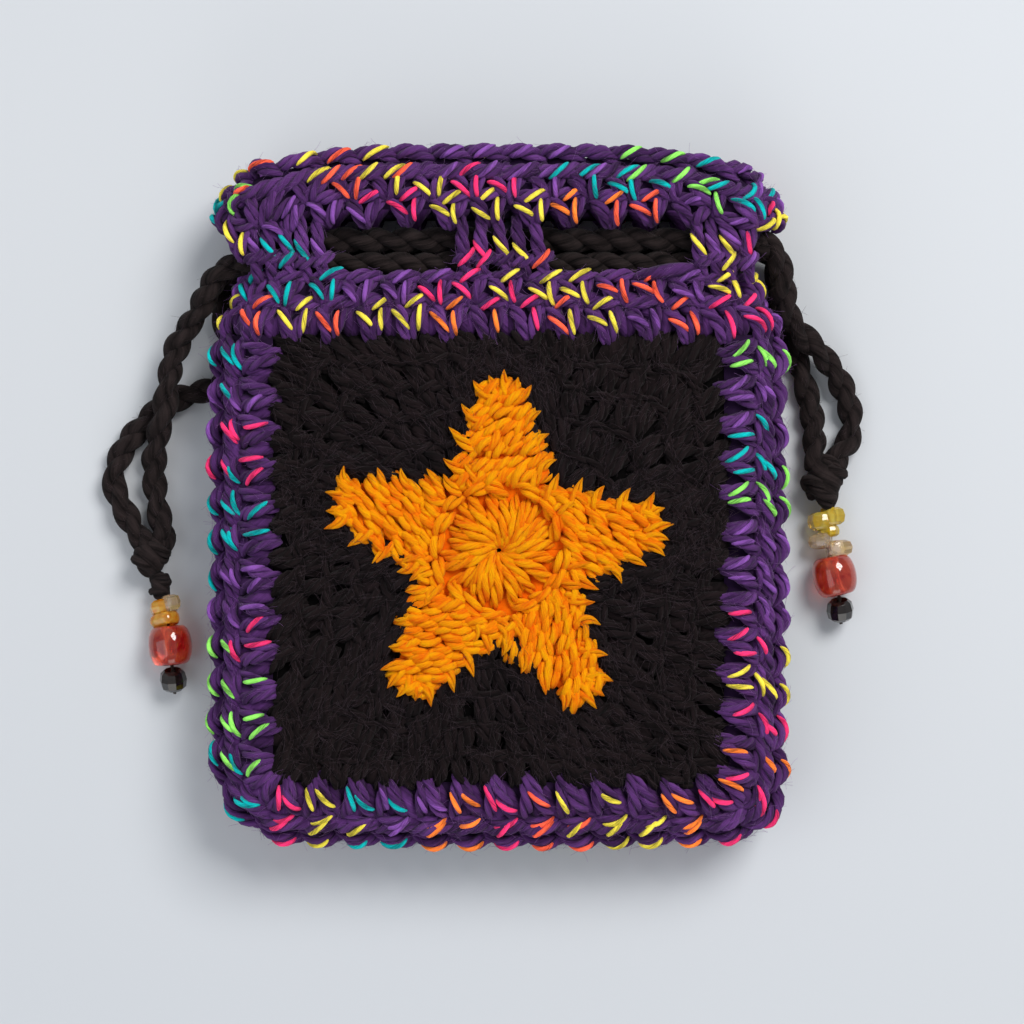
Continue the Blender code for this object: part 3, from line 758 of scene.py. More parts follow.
def on_border(side):
    """The border's surface for the front (1) or the back (-1): u mm along the U and v mm outwards
    from the panel. Across, it is a quarter of an oval: offset = sine, height = cosine."""

    def surface(u, v):
        """The place in metres at u and v."""
        station = np.interp(u, RAIL_RUN, STATIONS)
        angle = np.clip(v / BORDER_DEPTH, -0.2, 1.25) * np.pi / 2
        near, far = on_rail(station, INNER_RAIL), on_rail(station, OUTER_RAIL)
        share = np.sin(angle)
        x = near[0] + (far[0] - near[0]) * share
        y = near[1] + (far[1] - near[1]) * share
        return np.stack([x * mm, y * mm, (MIDDLE + side * 8.2 * np.cos(angle)) * mm], -1)

    return surface


PLY_COLOURS = {
    "pink": linear(242, 52, 112), "coral": linear(252, 98, 66), "orange": linear(255, 132, 50),
    "yellow": linear(232, 218, 70), "green": linear(140, 230, 96), "teal": linear(0, 170, 168),
    "purple": linear(120, 72, 150),
}
PURPLE = np.array((*linear(74, 41, 92), 1.0))
# The purple yarn's loose fibres are painted a lighter lilac: painted sheen
LILAC_SHEEN = np.array((*linear(138, 100, 158), 1.0))


def ply_colours(share, names):
    """The bright ply's colour at each share of the way along a row, from the row's colours in order."""
    names = names.split()
    place = np.clip(share * len(names) + chance.normal(0, 0.18, len(share)), 0, len(names) - 0.01)
    table = np.array([(*PLY_COLOURS[name], 1.0) for name in names])
    return table[place.astype(int)]


def purple_shades(count):
    """The purple of each length of yarn, a little lighter or darker from one to the next."""
    return PURPLE * np.clip(chance.normal(1.0, 0.16, (count, 1)), 0.6, 1.5)


def bright_dashes(lines, ups, radius, colours, share):
    """The bright ply where it crosses the outside of a yarn: a stretch of helix that turns from one
    side over the top to the other, angle = start - winding, raised half out of the yarn."""
    chosen = chance.random(len(lines)) < share
    lines, ups, colours = lines[chosen], ups[chosen], colours[chosen]
    count, steps, _ = lines.shape
    _, outward, sideways = line_frames(lines, ups)
    length = np.linalg.norm(np.diff(lines, axis=1), axis=-1).sum(1)
    half = np.clip(chance.uniform(1.6, 2.3, count) * mm / length, 0.1, 0.45)
    centre = chance.uniform(0.42, 0.58, count)
    t = np.linspace(-1, 1, DASH_STEPS)
    spot = np.clip(centre[:, None] + half[:, None] * t, 0, 0.999) * (steps - 1)
    low = spot.astype(int)
    part = (spot - low)[..., None]
    line = np.arange(count)[:, None]

    def between(values):
        """Values at the dash's points, in proportion between the yarn's own points."""
        return values[line, low] * (1 - part) + values[line, np.minimum(low + 1, steps - 1)] * part

    angle = -1.15 * t[None] + chance.normal(0, 0.2, (count, 1))
    away = round_about(angle, between(outward), between(sideways))
    path = between(lines) + away * radius * 0.92
    return tubes(path, away, DASH_RADIUS * tapered(DASH_STEPS, 0.4), 6, colours)


def purple_piece(name, fabric, groups, body, outward=1):
    """One piece of purple crochet: every group is strokes, the bright ply's colours for them, how
    many of them show it, and the yarn's thickness. A group that shows none lies under the others and
    is painted 0.7 times as dark, as painted shade."""
    bundles, yarns = [], []
    for strokes, colours, share, thickness in groups:
        lines, ups = lay_on(fabric, strokes, outward)
        yarns.append((lines, ups, thickness * mm))
        radii = tapered(strokes.shape[1], 0.6) * thickness * mm
        if share:
            bundles += plied(lines, ups, radii, LAY, 6, purple_shades(len(lines)))
            bundles.append(bright_dashes(lines, ups, thickness * mm, colours, share))
        else:
            # Painted shade: yarn lying under the others is darkened to 0.7 of its purple
            bundles.append(tubes(lines, ups, radii, 8, 0.7 * purple_shades(len(lines))))
    count = FIBRES_PER_STROKE * sum(len(lines) for lines, _, _ in yarns[-2:])
    bundles.append(tubes(*fibre_lines(yarns[-2:], count, FIBRE_LENGTH), FIBRE_THICKNESS, 3, LILAC_SHEEN))
    made = piece_from(name, bundles, purple_yarn)
    if body:
        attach(made, body)
    return made


def under_row(first, last, count, bottom, top):
    """The lower halves of a row's stitches, half a stitch along, seen in the gaps between its legs; they
    show no bright ply, so purple_piece paints them darker as shade.
    """
    strokes, share = v_row(first + 0.5 * STITCH, last + 0.5 * STITCH, count, bottom, top, high=0.0)
    return strokes, ply_colours(share, "purple"), 0, 1.35


def v_row(first, last, count, bottom, top, high=1.0, rooted=0.0):
    """One row of single crochet seen from its right side: a V of two legs to a stitch, with a bar
    lying across behind their heads. rooted lifts their feet where they stand on other fabric. Returns
    the strokes and each one's share of the way along."""
    pitch = (last - first) / count
    x = first + pitch * (np.arange(count) + 0.5) + chance.normal(0, 0.22, count)
    y = bottom + chance.normal(0, 0.15, count)
    rise = top - bottom
    foot = np.stack([x, y - 0.5], -1)
    left = arched(foot + (-0.15, 0), foot + (-0.44 * pitch, rise + 0.7), -0.8,
                  chance.normal(high, 0.15, count), 11, -0.5)
    right = arched(foot + (0.45, -0.1), foot + (0.46 * pitch, rise + 0.6), -0.8,
                   chance.normal(high, 0.15, count), 11, 0.45)
    bar = arched(foot + (-0.42 * pitch, rise + 0.3), foot + (0.62 * pitch, rise + 0.9), -0.5,
                 chance.normal(high * 0.75, 0.15, count), 11, 0.3)
    legs = np.concatenate([left, right])
    legs[..., 2] += rooted * np.linspace(1, 0, 11) ** 2
    share = np.tile((x - first) / (last - first), 3)
    return np.concatenate([legs, bar]), share


def chain_row(first, last, count, middle, width, high=1.0, low=-0.5, ahead=1):
    """A chain of loops along a row: the two legs of each link come out together from inside the link
    before it, spread apart and dive under the next. ahead is the way the chain was worked, 1 or -1."""
    pitch = (last - first) / count
    x = first + pitch * (np.arange(count) + 0.5) + chance.normal(0, 0.15, count)
    y = np.broadcast_to(middle, count)
    tail = np.stack([x - ahead * 0.55 * pitch, y], -1)
    tip = np.stack([x + ahead * 0.72 * pitch, y], -1)
    legs = [arched(tail + (0, way * 0.45), tip + (0, way * width), low, chance.normal(high, 0.12, count),
                   13, way * 0.9 * ahead) for way in (1, -1)]
    return np.concatenate(legs), np.tile((x - first) / (last - first), 2)


purple_yarn = yarn_material("purple_yarn", None, PURPLE[:3], 0.85, 1, 0.08, dyed=True)
# The purple core is painted darker than the purple yarn: painted shade in the gaps between the stitches
purple_core = yarn_material("purple_core", linear(16, 9, 22), linear(58, 34, 74), 0.95, 1, 0.0)

FRONT_BORDER = ("teal purple pink teal teal purple pink green green teal pink yellow teal purple orange "
                "pink coral yellow yellow orange pink orange pink yellow pink purple purple green teal "
                "purple green")
BACK_BORDER = ("green teal purple purple pink yellow orange coral purple teal green yellow orange pink "
               "purple teal green purple yellow orange pink")
length = RAIL_RUN[-1]
count = round(length / STITCH)
for name, side, node, dyes in (("front_border_yarn", 1, "front_border", FRONT_BORDER),
                               ("back_border_yarn", -1, "back_border", BACK_BORDER)):
    legs, share = v_row(0.5, length - 0.5, count, -1.3, 5.5, high=1.15 if side > 0 else 0.5, rooted=1.0)
    edge, edge_share = chain_row(0.5, length - 1.5, count, 8.9, 2.1, high=1.3)
    piece = purple_piece(name, on_border(side), [
        under_row(0.5, length - 4.0, count, 0.0, 6.0), (legs, ply_colours(share, dyes), 0.8, 1.32),
        (edge, ply_colours(edge_share, dyes), 0.9, 1.4)], "bag", outward=-side)
    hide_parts(node)
    u, v = np.meshgrid(np.linspace(0, length, 260), np.linspace(-0.4, BORDER_DEPTH, 10))
    core = under_sheet(name.replace("yarn", "core"), on_border(side)(u, v), BAG_MIDDLE, 1.0 * mm,
                       purple_core)
    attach(core, "bag")

# The two borders are joined through both thicknesses with a chain of slip stitches, which makes
# the bag's outermost edge.
edge, share = chain_row(0.5, length - 1.5, count, BORDER_DEPTH, 1.9, high=0.5, low=-0.6)
piece = purple_piece("joining_edge_yarn", on_border(1),
                     [(edge, ply_colours(share, FRONT_BORDER), 0.8, 1.2)], "bag", outward=-1)
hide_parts("joining_edge")

# ---------------------------------------------------------------- the neck band
# Above the panels the neck is worked in the round, in the same purple cotton. Its foot is two
# rounds of single crochet that narrow the bag's shoulders to its neck.

NECK_FOLD = 8.2  # mm, radius of the fold at each end of the flattened neck
NECK_RUNS = np.array((75.6, 25.8, 75.6, 25.8))  # mm: front, right fold, back, left fold
NECK_ROUND = NECK_RUNS.sum()
NECK_STITCHES = 31
BAND_FOOT, BAND_TOP = 28.75, 38.7


def on_ring(u, half):
    """A flattened ring of this half width: two flats and two round folds, from the distance u mm
    along it, starting at the front's left end. Gives X and Z in mm."""
    starts = np.concatenate([[0], np.cumsum(NECK_RUNS)[:-1]])
    u = u % NECK_ROUND
    stretch = np.clip(np.searchsorted(starts, u, side="right") - 1, 0, 3)
    along = (u - starts[stretch]) / NECK_RUNS[stretch]
    flat = half - NECK_FOLD
    angle = np.pi * np.where(stretch == 1, 0.5 - along, along - 0.5)
    x = np.select([stretch == 0, stretch == 1, stretch == 2],
                  [flat * (2 * along - 1), flat + NECK_FOLD * np.cos(angle), flat * (1 - 2 * along)],
                  -flat - NECK_FOLD * np.cos(angle))
    z = np.select([stretch == 0, stretch == 2], [MIDDLE + NECK_FOLD, MIDDLE - NECK_FOLD],
                  MIDDLE + NECK_FOLD * np.sin(angle))
    return x, z


def on_band(u, v):
    """The band: its half width is 48.6 mm, less 3.7 mm times 3 r2 - 2 r3 of the way up."""
    row = np.clip(v / (BAND_TOP - BAND_FOOT), 0, 1)
    x, z = on_ring(u, 48.6 - 3.7 * (3 * row**2 - 2 * row**3))
    return np.stack([x * mm, (BAND_FOOT + v) * mm, z * mm], -1)


BAND_DYES = ("yellow coral yellow yellow orange pink coral yellow purple coral pink pink purple green "
             "green teal purple yellow pink purple coral yellow teal green purple pink yellow coral")
BAND_TOP_DYES = ("teal purple purple pink pink yellow yellow coral coral purple yellow yellow purple "
                 "purple teal green teal purple yellow orange pink purple purple teal green purple "
                 "teal teal")
lower, share = v_row(0, NECK_ROUND, NECK_STITCHES, -1.3, 5.0, rooted=1.0)
upper, upper_share = v_row(3, NECK_ROUND + 3, NECK_STITCHES, 4.9, 9.6)
band = purple_piece("neck_band_yarn", on_band, [
    under_row(0, NECK_ROUND, NECK_STITCHES, 0.0, 5.5),
    (lower, ply_colours(share, BAND_DYES), 0.85, 1.3),
    (upper, ply_colours(upper_share, BAND_TOP_DYES), 0.85, 1.3)], "bag")
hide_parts("neck_band")

# One strand runs loose along the foot of the right window. It shows no bright ply, so it gets the
# # painted shade of yarn under the rows, 0.7 times as dark.
loose = arched([(24.2, 38.3)], [(36.0, 39.9)], 0.4, 1.5, 15, 0.5)
strand = purple_piece("loose_strand", on_front,
                      [(loose, ply_colours(np.zeros(1), "purple"), 0, 1.2)], "bag")
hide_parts("neck_band")

u, v = np.meshgrid(np.linspace(0, NECK_ROUND, 200, endpoint=False), np.linspace(0.2, 9.7, 8))
core = under_sheet("neck_band_core", on_band(u, v), (0, 34 * mm, 10 * mm), 1.6 * mm,
                   purple_core, closed=True)
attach(core, "bag")

# ---------------------------------------------------------------- the collar
# The neck's open top: two more rounds of single crochet and a chain rim, gathered by the
# drawstrings below it, so that it flares and its two ends hang over the places where they leave it.
# It is one ring.

COLLAR_FOOT, COLLAR_DEPTH = 48.0, 13.2


def smooth_step(value):
    """0 up to 0, 1 from 1 on, and 3 v2 - 2 v3 between."""
    value = np.clip(value, 0, 1)
    return value * value * (3 - 2 * value)


def on_collar(u, v):
    """The collar: half width 50.1 - 4.5 r2, its rim sagging as the fourth power of X towards its
    ends, and its foot hanging lower over the front's two ends."""
    row = v / COLLAR_DEPTH
    x, z = on_ring(u, 50.1 - 4.5 * np.clip(row, 0, 1.1) ** 2)
    end = smooth_step((np.abs(x) - 33.5) / 9.5) * smooth_step((z - 15.9) / 2.2)
    foot = COLLAR_FOOT - 6.4 * end
    rim = 60.4 + 0.5 * (18.2 - z) / 16.4 - 7.0 * np.abs(x / 50) ** 4
    swell = 0.9 * np.sin(np.clip(row, 0, 1) * np.pi) * (z - MIDDLE) / NECK_FOLD
    return np.stack([x * mm * (1 + 0.03 * end), (foot + (rim - foot) * row) * mm, (z + swell) * mm], -1)


RIM_DYES = ("yellow coral yellow yellow coral purple purple purple purple purple teal purple green green "
            "teal teal purple purple pink pink purple yellow green purple teal teal purple yellow orange "
            "pink purple purple teal green purple pink coral yellow yellow coral")
UPPER_DYES = ("yellow coral coral yellow yellow pink pink purple purple teal teal teal green green teal "
              "teal purple purple yellow purple pink green teal purple pink yellow orange purple green "
              "teal purple pink yellow coral purple teal green yellow yellow")
LOWER_DYES = ("purple purple pink pink yellow yellow yellow orange coral coral purple pink yellow yellow "
              "purple teal green purple pink yellow orange purple green teal purple pink yellow purple "
              "teal yellow")
foot_row, foot_share = v_row(0, NECK_ROUND, NECK_STITCHES, 0.2, 4.9)
next_row, next_share = v_row(3.2, NECK_ROUND + 3.2, NECK_STITCHES, 4.8, 9.3)
rim_chain, rim_share = chain_row(0, NECK_ROUND, NECK_STITCHES, 11.4, 1.9, high=1.15, ahead=-1)
collar = purple_piece("collar_yarn", on_collar, [
    (foot_row, ply_colours(foot_share, LOWER_DYES), 0.85, 1.3),
    (next_row, ply_colours(next_share, UPPER_DYES), 0.85, 1.35),
    (rim_chain, ply_colours(rim_share, RIM_DYES), 0.9, 1.45)], None)
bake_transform(collar)
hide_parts("collar_front", "collar_back")

# The same stitches seen from the wrong side, inside the mouth, painted 0.85 times as dark as painted shade.
bundles = []
for strokes in (foot_row, next_row):
    turned = strokes * (1, 1, -0.5) - (0, 0, 1.9)
    lines, ups = lay_on(on_collar, turned)
    inside_painted_shade = 0.85 * purple_shades(len(lines))
    bundles.append(tubes(lines, -ups, tapered(11, 0.6) * 1.25 * mm, 8, inside_painted_shade))
inside = piece_from("collar_inside_yarn", bundles, purple_yarn)
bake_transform(inside)
u, v = np.meshgrid(np.linspace(0, NECK_ROUND, 200, endpoint=False), np.linspace(2.6, 12.4, 9))
core = under_sheet("collar_core", on_collar(u, v), (0, 54 * mm, 10 * mm), 1.6 * mm, purple_core,
                   closed=True)
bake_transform(core)

# ---------------------------------------------------------------- the posts
# Between the band and the collar, one round of tall stitches in clusters leaves long windows,
# through which the drawstrings show. A small hole is left in the middle cluster.

POST_FOOT, POST_HEAD = 37.6, 49.2
POSTS = {
    "left": (-43.2, -31.4, 5, "purple teal teal purple teal purple"),
    "centre": (-5.6, 7.0, 5, "pink pink yellow yellow coral"),
    "right": (35.8, 43.4, 4, "yellow purple yellow purple"),
}


def post_strokes(left, right, legs, hole):
    """Tall stitches side by side, leaning to the left, each crossed by one slanting wrap."""
    x = np.linspace(left, right, legs) + chance.normal(0, 0.2, legs)
    across = (right - left) / (legs - 1)
    parted = hole * np.sign(x - 0.7) * 0.55
    foot = np.stack([x + 0.7 + parted, np.full(legs, POST_FOOT)], -1)
    head = np.stack([x - 0.8 - parted * 0.4, np.full(legs, POST_HEAD)], -1)
    middle = (foot + head) / 2
    upright = arched(foot, head, -0.3, chance.normal(0.9, 0.1, legs), 13, 0.3)
    start = middle + np.stack([np.full(legs, -0.55 * across), chance.normal(-2.2, 0.4, legs)], -1)
    wrap = arched(start, start + (1.25 * across, 1.7), -0.2, 1.5, 11, -0.3)
    return upright, wrap


def on_face(side):
    """The flat front (1) or back (-1) of the neck."""

    def surface(u, v):
        """The place in metres at X and Y in mm."""
        return np.stack([u * mm, v * mm, np.full_like(u, (MIDDLE + side * 8.3) * mm)], -1)

    return surface


for face, side in (("front", 1), ("back", -1)):
    for name, (left, right, legs, dyes) in POSTS.items():
        upright, wrap = post_strokes(left, right, legs, name == "centre")
        share = np.linspace(0, 1, legs)
        post = purple_piece(f"{face}_post_{name}_yarn", on_face(side), [
            (upright, ply_colours(share, dyes), 0.8, 1.35), (wrap, ply_colours(share, dyes), 0.7, 1.15)],
            None, outward=side)
        if side > 0:
            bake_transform(post)
        else:
            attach(post, "bag")
        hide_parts(f"{face}_post_{name}")

# ---------------------------------------------------------------- the drawstrings
# Each drawstring is two thick black strands twisted together. It goes in at one end of the neck,
# right round through all the windows, and out again at the same end, where its two ends are
# knotted together. Its free ends lie on the table.

CORD_LAY, STRAND, STRAND_OFFSET = 10.4 * mm, 1.46 * mm, 0.88 * mm  # a strand's radius and place
NECK_FRONT, NECK_BACK = 14.2, 5.6  # mm, height of a cord's front and back run inside the neck
# Places in mm along the middle of each free run: the front runs go from the knot to the neck, and
# the back runs from the neck to the knot
LEFT_FRONT = [
    (-62.4, -9.6, 3.4), (-61.3, -7.3, 3.0), (-62.2, -4.4, 2.5), (-63.0, 0.2, 2.15), (-63.4, 4.6, 2.3),
    (-62.8, 9.3, 3.6), (-61.5, 13.4, 5.6), (-60.5, 17.5, 6.7), (-59.9, 22.0, 6.3), (-58.9, 26.2, 6.0),
    (-57.2, 29.4, 6.7), (-54.3, 33.3, 9.0), (-51.9, 37.3, 11.7), (-49.7, 40.1, 13.2), (-46.4, 41.0, 14.0)]
LEFT_BACK = [
    (-46.6, 41.1, 5.4), (-50.0, 39.8, 4.4), (-51.1, 36.0, 2.9), (-50.3, 31.2, 2.15), (-48.2, 26.4, 2.15),
    (-48.7, 22.2, 2.15), (-52.4, 19.8, 2.15), (-56.2, 18.6, 2.15), (-59.9, 17.4, 2.1), (-63.5, 14.9, 2.15),
    (-67.2, 10.9, 2.15), (-69.9, 6.5, 2.15), (-70.8, 2.6, 2.15), (-69.6, -1.2, 2.2), (-67.6, -4.9, 2.6),
    (-65.7, -7.8, 3.2), (-64.4, -9.6, 3.6)]
RIGHT_FRONT = [
    (61.2, 5.2, 3.8), (62.4, 7.5, 3.4), (63.9, 9.4, 2.5), (64.8, 12.4, 2.15), (64.3, 16.5, 2.15),
    (62.5, 20.9, 2.5), (59.9, 24.6, 4.0), (56.7, 27.7, 5.9), (53.9, 30.4, 7.4), (52.1, 33.5, 8.9),
    (51.3, 37.1, 10.6), (50.7, 40.8, 12.1), (49.2, 43.8, 13.4), (46.3, 45.3, 14.1)]
RIGHT_BACK = [
    (46.3, 45.3, 5.4), (49.4, 43.8, 4.6), (50.9, 40.5, 3.4), (51.3, 36.5, 2.5), (51.7, 32.5, 2.15),
    (53.3, 28.5, 2.15), (55.0, 24.2, 2.15), (56.3, 20.0, 2.15), (57.2, 16.3, 2.15), (57.8, 12.6, 2.3),
    (57.9, 9.8, 2.8), (57.8, 7.5, 3.3), (58.4, 5.2, 3.8)]


def round_the_neck(row, side):
    """The run inside the neck at this Y: along the front, round the far end, back along the back."""
    straight = side * np.linspace(42, -28, 8)
    angle = np.radians(np.linspace(90, -90, 7))
    turn = [(-side * (38.2 + 4.3 * np.cos(a)), row, 9.9 + 4.3 * np.sin(a)) for a in angle]
    return ([(x, row, NECK_FRONT) for x in straight] + turn
            + [(x, row, NECK_BACK) for x in straight[::-1]])


def smooth_line(points, spacing):
    """An even walk along the smooth curve through the points: on each stretch a cubic whose slopes
    are half the difference of its neighbours."""
    p = np.asarray(points, float) * mm
    p = np.concatenate([2 * p[:1] - p[1:2], p, 2 * p[-1:] - p[-2:-1]])
    t = np.linspace(0, 1, 40, endpoint=False)[None, :, None]
    a, b, c, d = (p[i:len(p) - 3 + i, None] for i in range(4))
    curve = 0.5 * (2 * b + (c - a) * t + (2 * a - 5 * b + 4 * c - d) * t**2
                   + (3 * b - a - 3 * c + d) * t**3)
    curve = np.concatenate([curve.reshape(-1, 3), p[-2:-1]])
    run = run_along(curve)
    even = np.linspace(0, run[-1], int(run[-1] / spacing) + 1)
    return np.stack([np.interp(even, run, curve[:, i]) for i in range(3)], -1)


def rope(line, lay, strand, offset, phase):
    """Two strands wound round a line: offset away from it, turning once in each lay, and swelling
    where they cross the outside. Outside the neck they turn from the vertical, inside it from Y."""
    inside = np.clip((47 * mm - np.abs(line[:, 0])) / (5 * mm), 0, 1)
    ups = np.stack([np.zeros(len(line)), inside, 1 - inside], -1)
    _, outward, sideways = line_frames(line[None], ups[None])
    run = run_along(line)
    wander = 0.35 * np.sin(run / (7.3 * mm)) + 0.25 * np.sin(run / (3.1 * mm) + 1)
    strands = []
    for start in (0, np.pi):
        angle = phase + start + 2 * np.pi * run / lay + wander
        strands.append(line + offset * round_about(angle, outward[0], sideways[0]))
    swell = strand * (1 + 0.07 * np.sin(run / (1.9 * mm)) + 0.04 * np.sin(run / (0.9 * mm) + 2))
    away = np.broadcast_to(outward, (2, *line.shape))
    return np.stack(strands), away, np.broadcast_to(swell, (2, len(line)))


black_cord = yarn_material("black_cord", linear(1, 1, 1), linear(46, 38, 38), 0.95, 3, 0.03)
cords = {}
for name, front, back, row, side in (("left", LEFT_FRONT, LEFT_BACK, 41.15, -1),
                                     ("right", RIGHT_FRONT, RIGHT_BACK, 45.45, 1)):
    line = smooth_line(front + round_the_neck(row, side) + back, 0.5 * mm)
    strands, ups, radii = rope(line, CORD_LAY, STRAND, STRAND_OFFSET, 0.6)
    first = np.argmin(np.linalg.norm(line - np.array(front[-1]) * mm, axis=1))
    last = np.argmin(np.linalg.norm(line - np.array(back[0]) * mm, axis=1))
    stretches = {"front": slice(0, first + 1), "hidden": slice(first, last + 1), "back": slice(last, None)}
    for part, cut in stretches.items():
        made = piece_from(f"{name}_cord_{part}",
                          [tubes(strands[:, cut], ups[:, cut], radii[:, cut], 12, WHITE)], black_cord)
        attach(made, f"{name}_drawstring")
        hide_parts(f"{name}_cord")
        cords[name, part] = (made, line[cut])
    lint = fluff(f"{name}_cord_lint", [(strands, ups, 1.4 * mm)], 1500, 1.2 * mm, LINT_THICKNESS,
                 black_fibre_sheen)
    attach(lint, f"{name}_drawstring")

# ---------------------------------------------------------------- the knots
# The two ends of each drawstring are tied together in one fat knot. On the left a smaller knot
# below it holds the beads' thread, and on the right the fat knot tapers to its thread.


def wound_ball(name, centre, axis, radii, turns, strand, tilt, taper):
    """A plied strand wound over an oval from pole to pole: its direction from the centre turns evenly
    round a tilted axis while it goes from one end to the other. taper narrows the lower end, and an
    oval of plain yarn fills the inside."""
    axis = unit(np.array(axis, float))
    side = unit(np.cross(axis, (0, 0, 1.0)))
    up = np.cross(side, axis)
    tilt = np.radians(tilt)
    pole = np.array((np.sin(tilt), np.cos(tilt), 0.0))
    east = np.array((np.cos(tilt), -np.sin(tilt), 0.0))
    north = np.array((0, 0, 1.0))
    t = np.linspace(0, 1, 110)
    fall, spin = np.pi * (0.03 + 0.94 * t), 2 * np.pi * turns * t
    way = round_about(fall, pole, round_about(spin, east, north))
    local = way * (np.array(radii) - strand)
    local[:, [0, 2]] *= 1 - taper * np.clip(-way[:, 1:2], 0, 1)
    line = (centre + local @ np.stack([side, axis, up])) * mm
    wraps = plied(line[None], (line - line.mean(0))[None], strand * mm, BLACK_LAY, 8, WHITE)
    t = np.linspace(-0.75, 0.75, 9)
    inner = (centre + t[:, None] * radii[1] * axis) * mm
    thick = (radii[0] - 0.7 * strand) * np.sqrt(1 - t**2) * (1 + taper * np.minimum(t, 0))
    heart = tubes(inner[None], np.broadcast_to(up, (1, 9, 3)), thick * mm, 16, WHITE)
    return piece_from(name, wraps + [heart], black_cord)


# Each knot's centre, axis, three radii, turns of its strand, the strand's radius, tilt and taper
KNOTS = (
    ("left_knot", "left", (-63.6, -11.2, 3.9), (0.1, 1, 0), (3.9, 3.9, 3.6), 1.55, 1.75, 66, 0.0),
    ("left_end_knot", "left", (-62.1, -16.5, 3.0), (-0.25, 1, 0), (2.6, 2.9, 2.5), 1.4, 1.3, 50, 0.0),
    ("right_knot", "right", (59.6, 2.3, 4.2), (-0.06, 1, 0.05), (4.5, 5.3, 3.9), 1.8, 1.85, 62, 0.5),
)
knots = {"left": [], "right": []}
for name, side, centre, axis, radii, turns, strand, tilt, taper in KNOTS:
    knot = wound_ball(name + "_wraps", centre, axis, radii, turns, strand, tilt, taper)
    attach(knot, f"{side}_drawstring")
    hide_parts(name)
    knots[side].append(knot)

# ---------------------------------------------------------------- the bead strings
# Each knot holds a doubled dark thread with a few tumbled glass chips, one round red glass bead
# and a small faceted black bead under it as a stop.

THREAD_LAY, THREAD_STRAND, THREAD_OFFSET = 2.6 * mm, 0.2 * mm, 0.17 * mm
# Places in mm along each thread: at its knot, above the red bead, between the two beads, below them
THREADS = {
    "left": ((-61.5, -19.1, 3.0), (-60.5, -23.75, 3.95), (-59.8, -31.25, 4.15), (-59.5, -36.4, 2.7)),
    "right": ((59.8, -2.9, 3.3), (60.6, -11.1, 4.0), (62.2, -18.45, 4.15), (62.8, -23.6, 2.7)),
}


def glass(name, deep, pale, through, roughness, scale):
    """Coloured glass with cloudy streaks from a deep to a pale tint."""
    made, nodes, links, shader = plain_material(name, deep, roughness)
    cloud = noise(nodes, links, nodes.new("ShaderNodeTexCoord").outputs["Object"], scale, 3)
    cloud.inputs["Distortion"].default_value = 1.2
    ramp = two_tones(nodes, 0.36, deep, 0.66, pale)
    links.new(cloud.outputs["Fac"], ramp.inputs["Fac"])
    links.new(ramp.outputs["Color"], shader.inputs["Base Color"])
    shader.inputs["Transmission Weight"].default_value = through
    shader.inputs["IOR"].default_value = 1.5
    shader.inputs["Coat Weight"].default_value = 0.6
    shader.inputs["Coat Roughness"].default_value = 0.03
    return made


CHIP_GRID, AMBER_GRID = (11, 8, True), (32, 16, False)  # points round, points across, with facets


def strung(name, centre, axis, outline, half, bore, surface, around, sides, facets, power=0.6):
    """A bead round its bore: across, its radius goes from the bore to the outline (a function of the
    angle round the axis) as a power of (1 + cos)/2; along, it is half the length times sine."""
    axis = unit(np.array(axis, float))
    side = unit(np.cross(axis, (0, 0, 1.0)))
    up = np.cross(side, axis)
    turn, lap = np.meshgrid(np.arange(around) * 2 * np.pi / around, np.arange(sides) * 2 * np.pi / sides,
                            indexing="ij")
    radius = bore + (outline(turn) - bore) * ((1 + np.cos(lap)) / 2) ** power
    along = half * np.sin(lap)
    points = (centre + radius[..., None] * round_about(turn, side, up) + along[..., None] * axis) * mm
    i, j = np.meshgrid(np.arange(around), np.arange(sides), indexing="ij")
    i2, j2 = (i + 1) % around, (j + 1) % sides
    faces = np.stack([i * sides + j, i * sides + j2, i2 * sides + j2, i2 * sides + j], -1).reshape(-1, 4)
    made = object_from(name, points, faces, surface)
    if not facets:
        made.data.shade_smooth()
    return made


glasses = {
    "red_glass": glass("coral_red", linear(196, 26, 20), linear(250, 112, 74), 0.72, 0.04, 260),
    "black_glass": glass("jet_black", linear(8, 6, 7), linear(34, 26, 24), 0.0, 0.09, 400),
    "yellow_glass": glass("lemon", linear(240, 196, 18), linear(250, 232, 110), 0.65, 0.08, 500),
    "amber_glass": glass("amber", linear(244, 150, 12), linear(255, 206, 84), 0.6, 0.07, 520),
    "clear_glass": glass("pale_straw", linear(250, 222, 150), linear(246, 226, 214), 0.8, 0.06, 450),
}
bead_thread = yarn_material("bead_thread", linear(20, 16, 16), linear(70, 58, 50), 0.6, 2, 0.1)

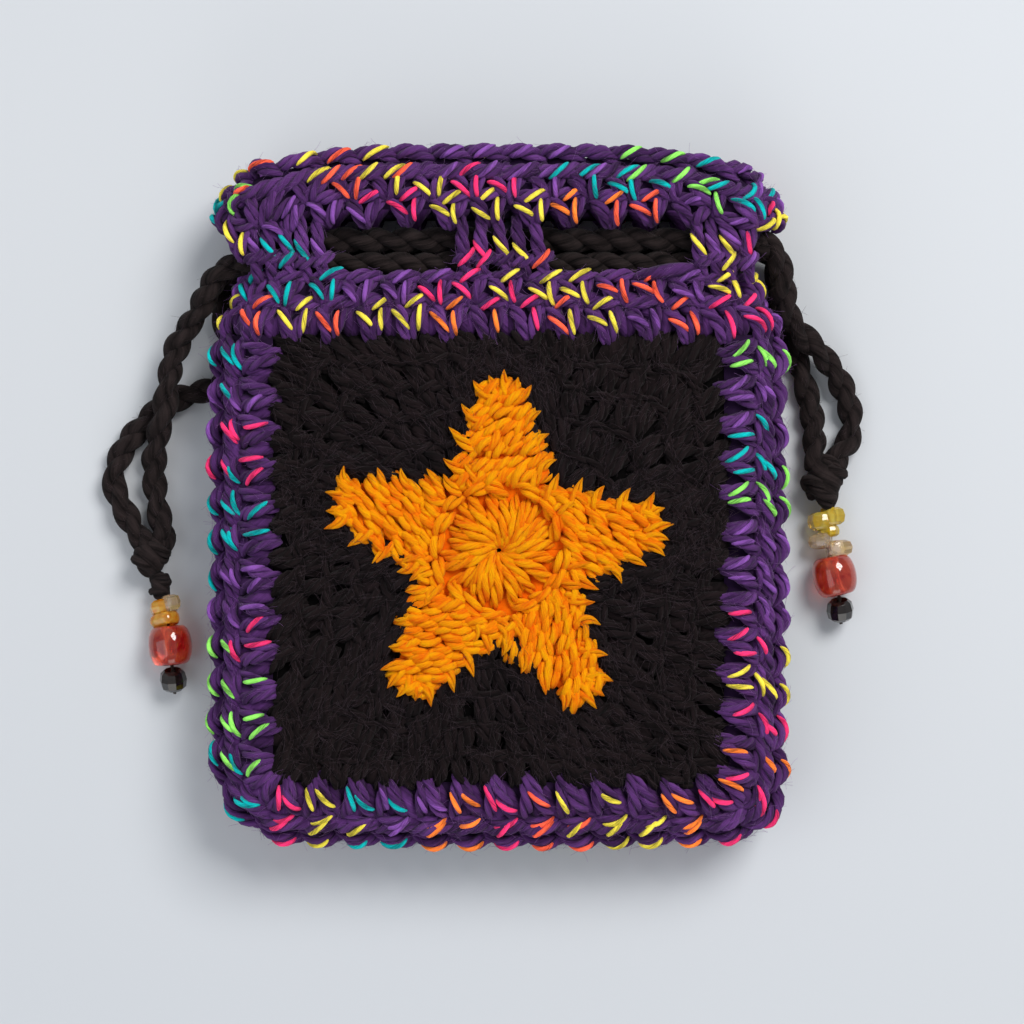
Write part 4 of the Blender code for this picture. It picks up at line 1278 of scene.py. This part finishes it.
# Each chip's share of the way from the knot to the red bead, how far in mm it hangs out and which
# way in degrees, its half width, half height and half length in mm, and its glass
CHIPS = {
    "left": (("left_chip_1", 0.22, 1.2, 195, 2.0, 1.7, 1.45, "clear_glass"),
             ("left_chip_2", 0.30, 1.0, 10, 1.7, 1.6, 1.35, "amber_glass"),
             ("left_amber_bead", 0.78, 0.3, 0, 2.75, 2.2, 1.15, "amber_glass")),
    "right": (("right_chip_1", 0.14, 1.2, 185, 2.2, 1.8, 1.6, "yellow_glass"),
              ("right_chip_2", 0.22, 1.2, 0, 2.1, 1.8, 1.6, "yellow_glass"),
              ("right_chip_3", 0.46, 0.4, 200, 2.0, 1.8, 1.0, "yellow_glass"),
              ("right_chip_4", 0.66, 1.5, 355, 2.2, 1.7, 1.35, "clear_glass"),
              ("right_chip_5", 0.86, 1.9, 180, 2.4, 1.9, 1.45, "clear_glass")),
}


def round_outline(radius):
    """A circle: the same radius at every turn."""
    return lambda turn: np.full_like(turn, radius)


def chip_outline(width, height, out, toward, seed):
    """An oval shifted to one side of the bore, with two gentle waves, never thinner than the bore."""

    def outline(turn):
        """Radius in mm at these turns."""
        oval = 1 / np.sqrt((np.cos(turn) / width) ** 2 + (np.sin(turn) / height) ** 2)
        shifted = oval + out * np.cos(turn - np.radians(toward))
        return np.maximum(shifted * (1 + 0.07 * np.sin(3 * turn + seed) + 0.04 * np.sin(5 * turn)), 0.75)

    return outline


for side, thread in THREADS.items():
    thread = np.array(thread)
    line = smooth_line(thread, 0.4 * mm)
    strands, ups, radii = rope(line, THREAD_LAY, THREAD_STRAND, THREAD_OFFSET, 0.0)
    made = piece_from(f"{side}_thread_plies", [tubes(strands, ups, radii, 6, WHITE)], bead_thread)
    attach(made, f"{side}_drawstring")
    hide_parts(f"{side}_thread")
    for seed, (name, share, out, toward, width, height, half, surface) in enumerate(CHIPS[side]):
        spot = thread[0] + (thread[1] - thread[0]) * share
        piece = strung(name + "_glass", spot, thread[1] - thread[0],
                       chip_outline(width, height, out, toward, seed), half, 0.45, glasses[surface],
                       *(AMBER_GRID if name == "left_amber_bead" else CHIP_GRID))
        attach(piece, f"{side}_drawstring")
        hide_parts(name)
    for kind, start, radius, half, surface, grid in (
            ("glass", 1, 4.0, 3.6, "red_glass", (64, 32, False)),
            ("black", 2, 2.5, 1.95, "black_glass", (10, 8, True))):
        above, below = thread[start], thread[start + 1]
        piece = strung(f"{side}_{kind}_bead_body", (above + below) / 2, below - above,
                       round_outline(radius), half, 0.6, glasses[surface], *grid, power=0.95)
        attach(piece, f"{side}_{kind}")
        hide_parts(f"{side}_{kind}_bead")
    for part in ("front", "back"):
        made, line = cords[side, part]
        length = np.linalg.norm(np.diff(line, axis=0), axis=1).sum()
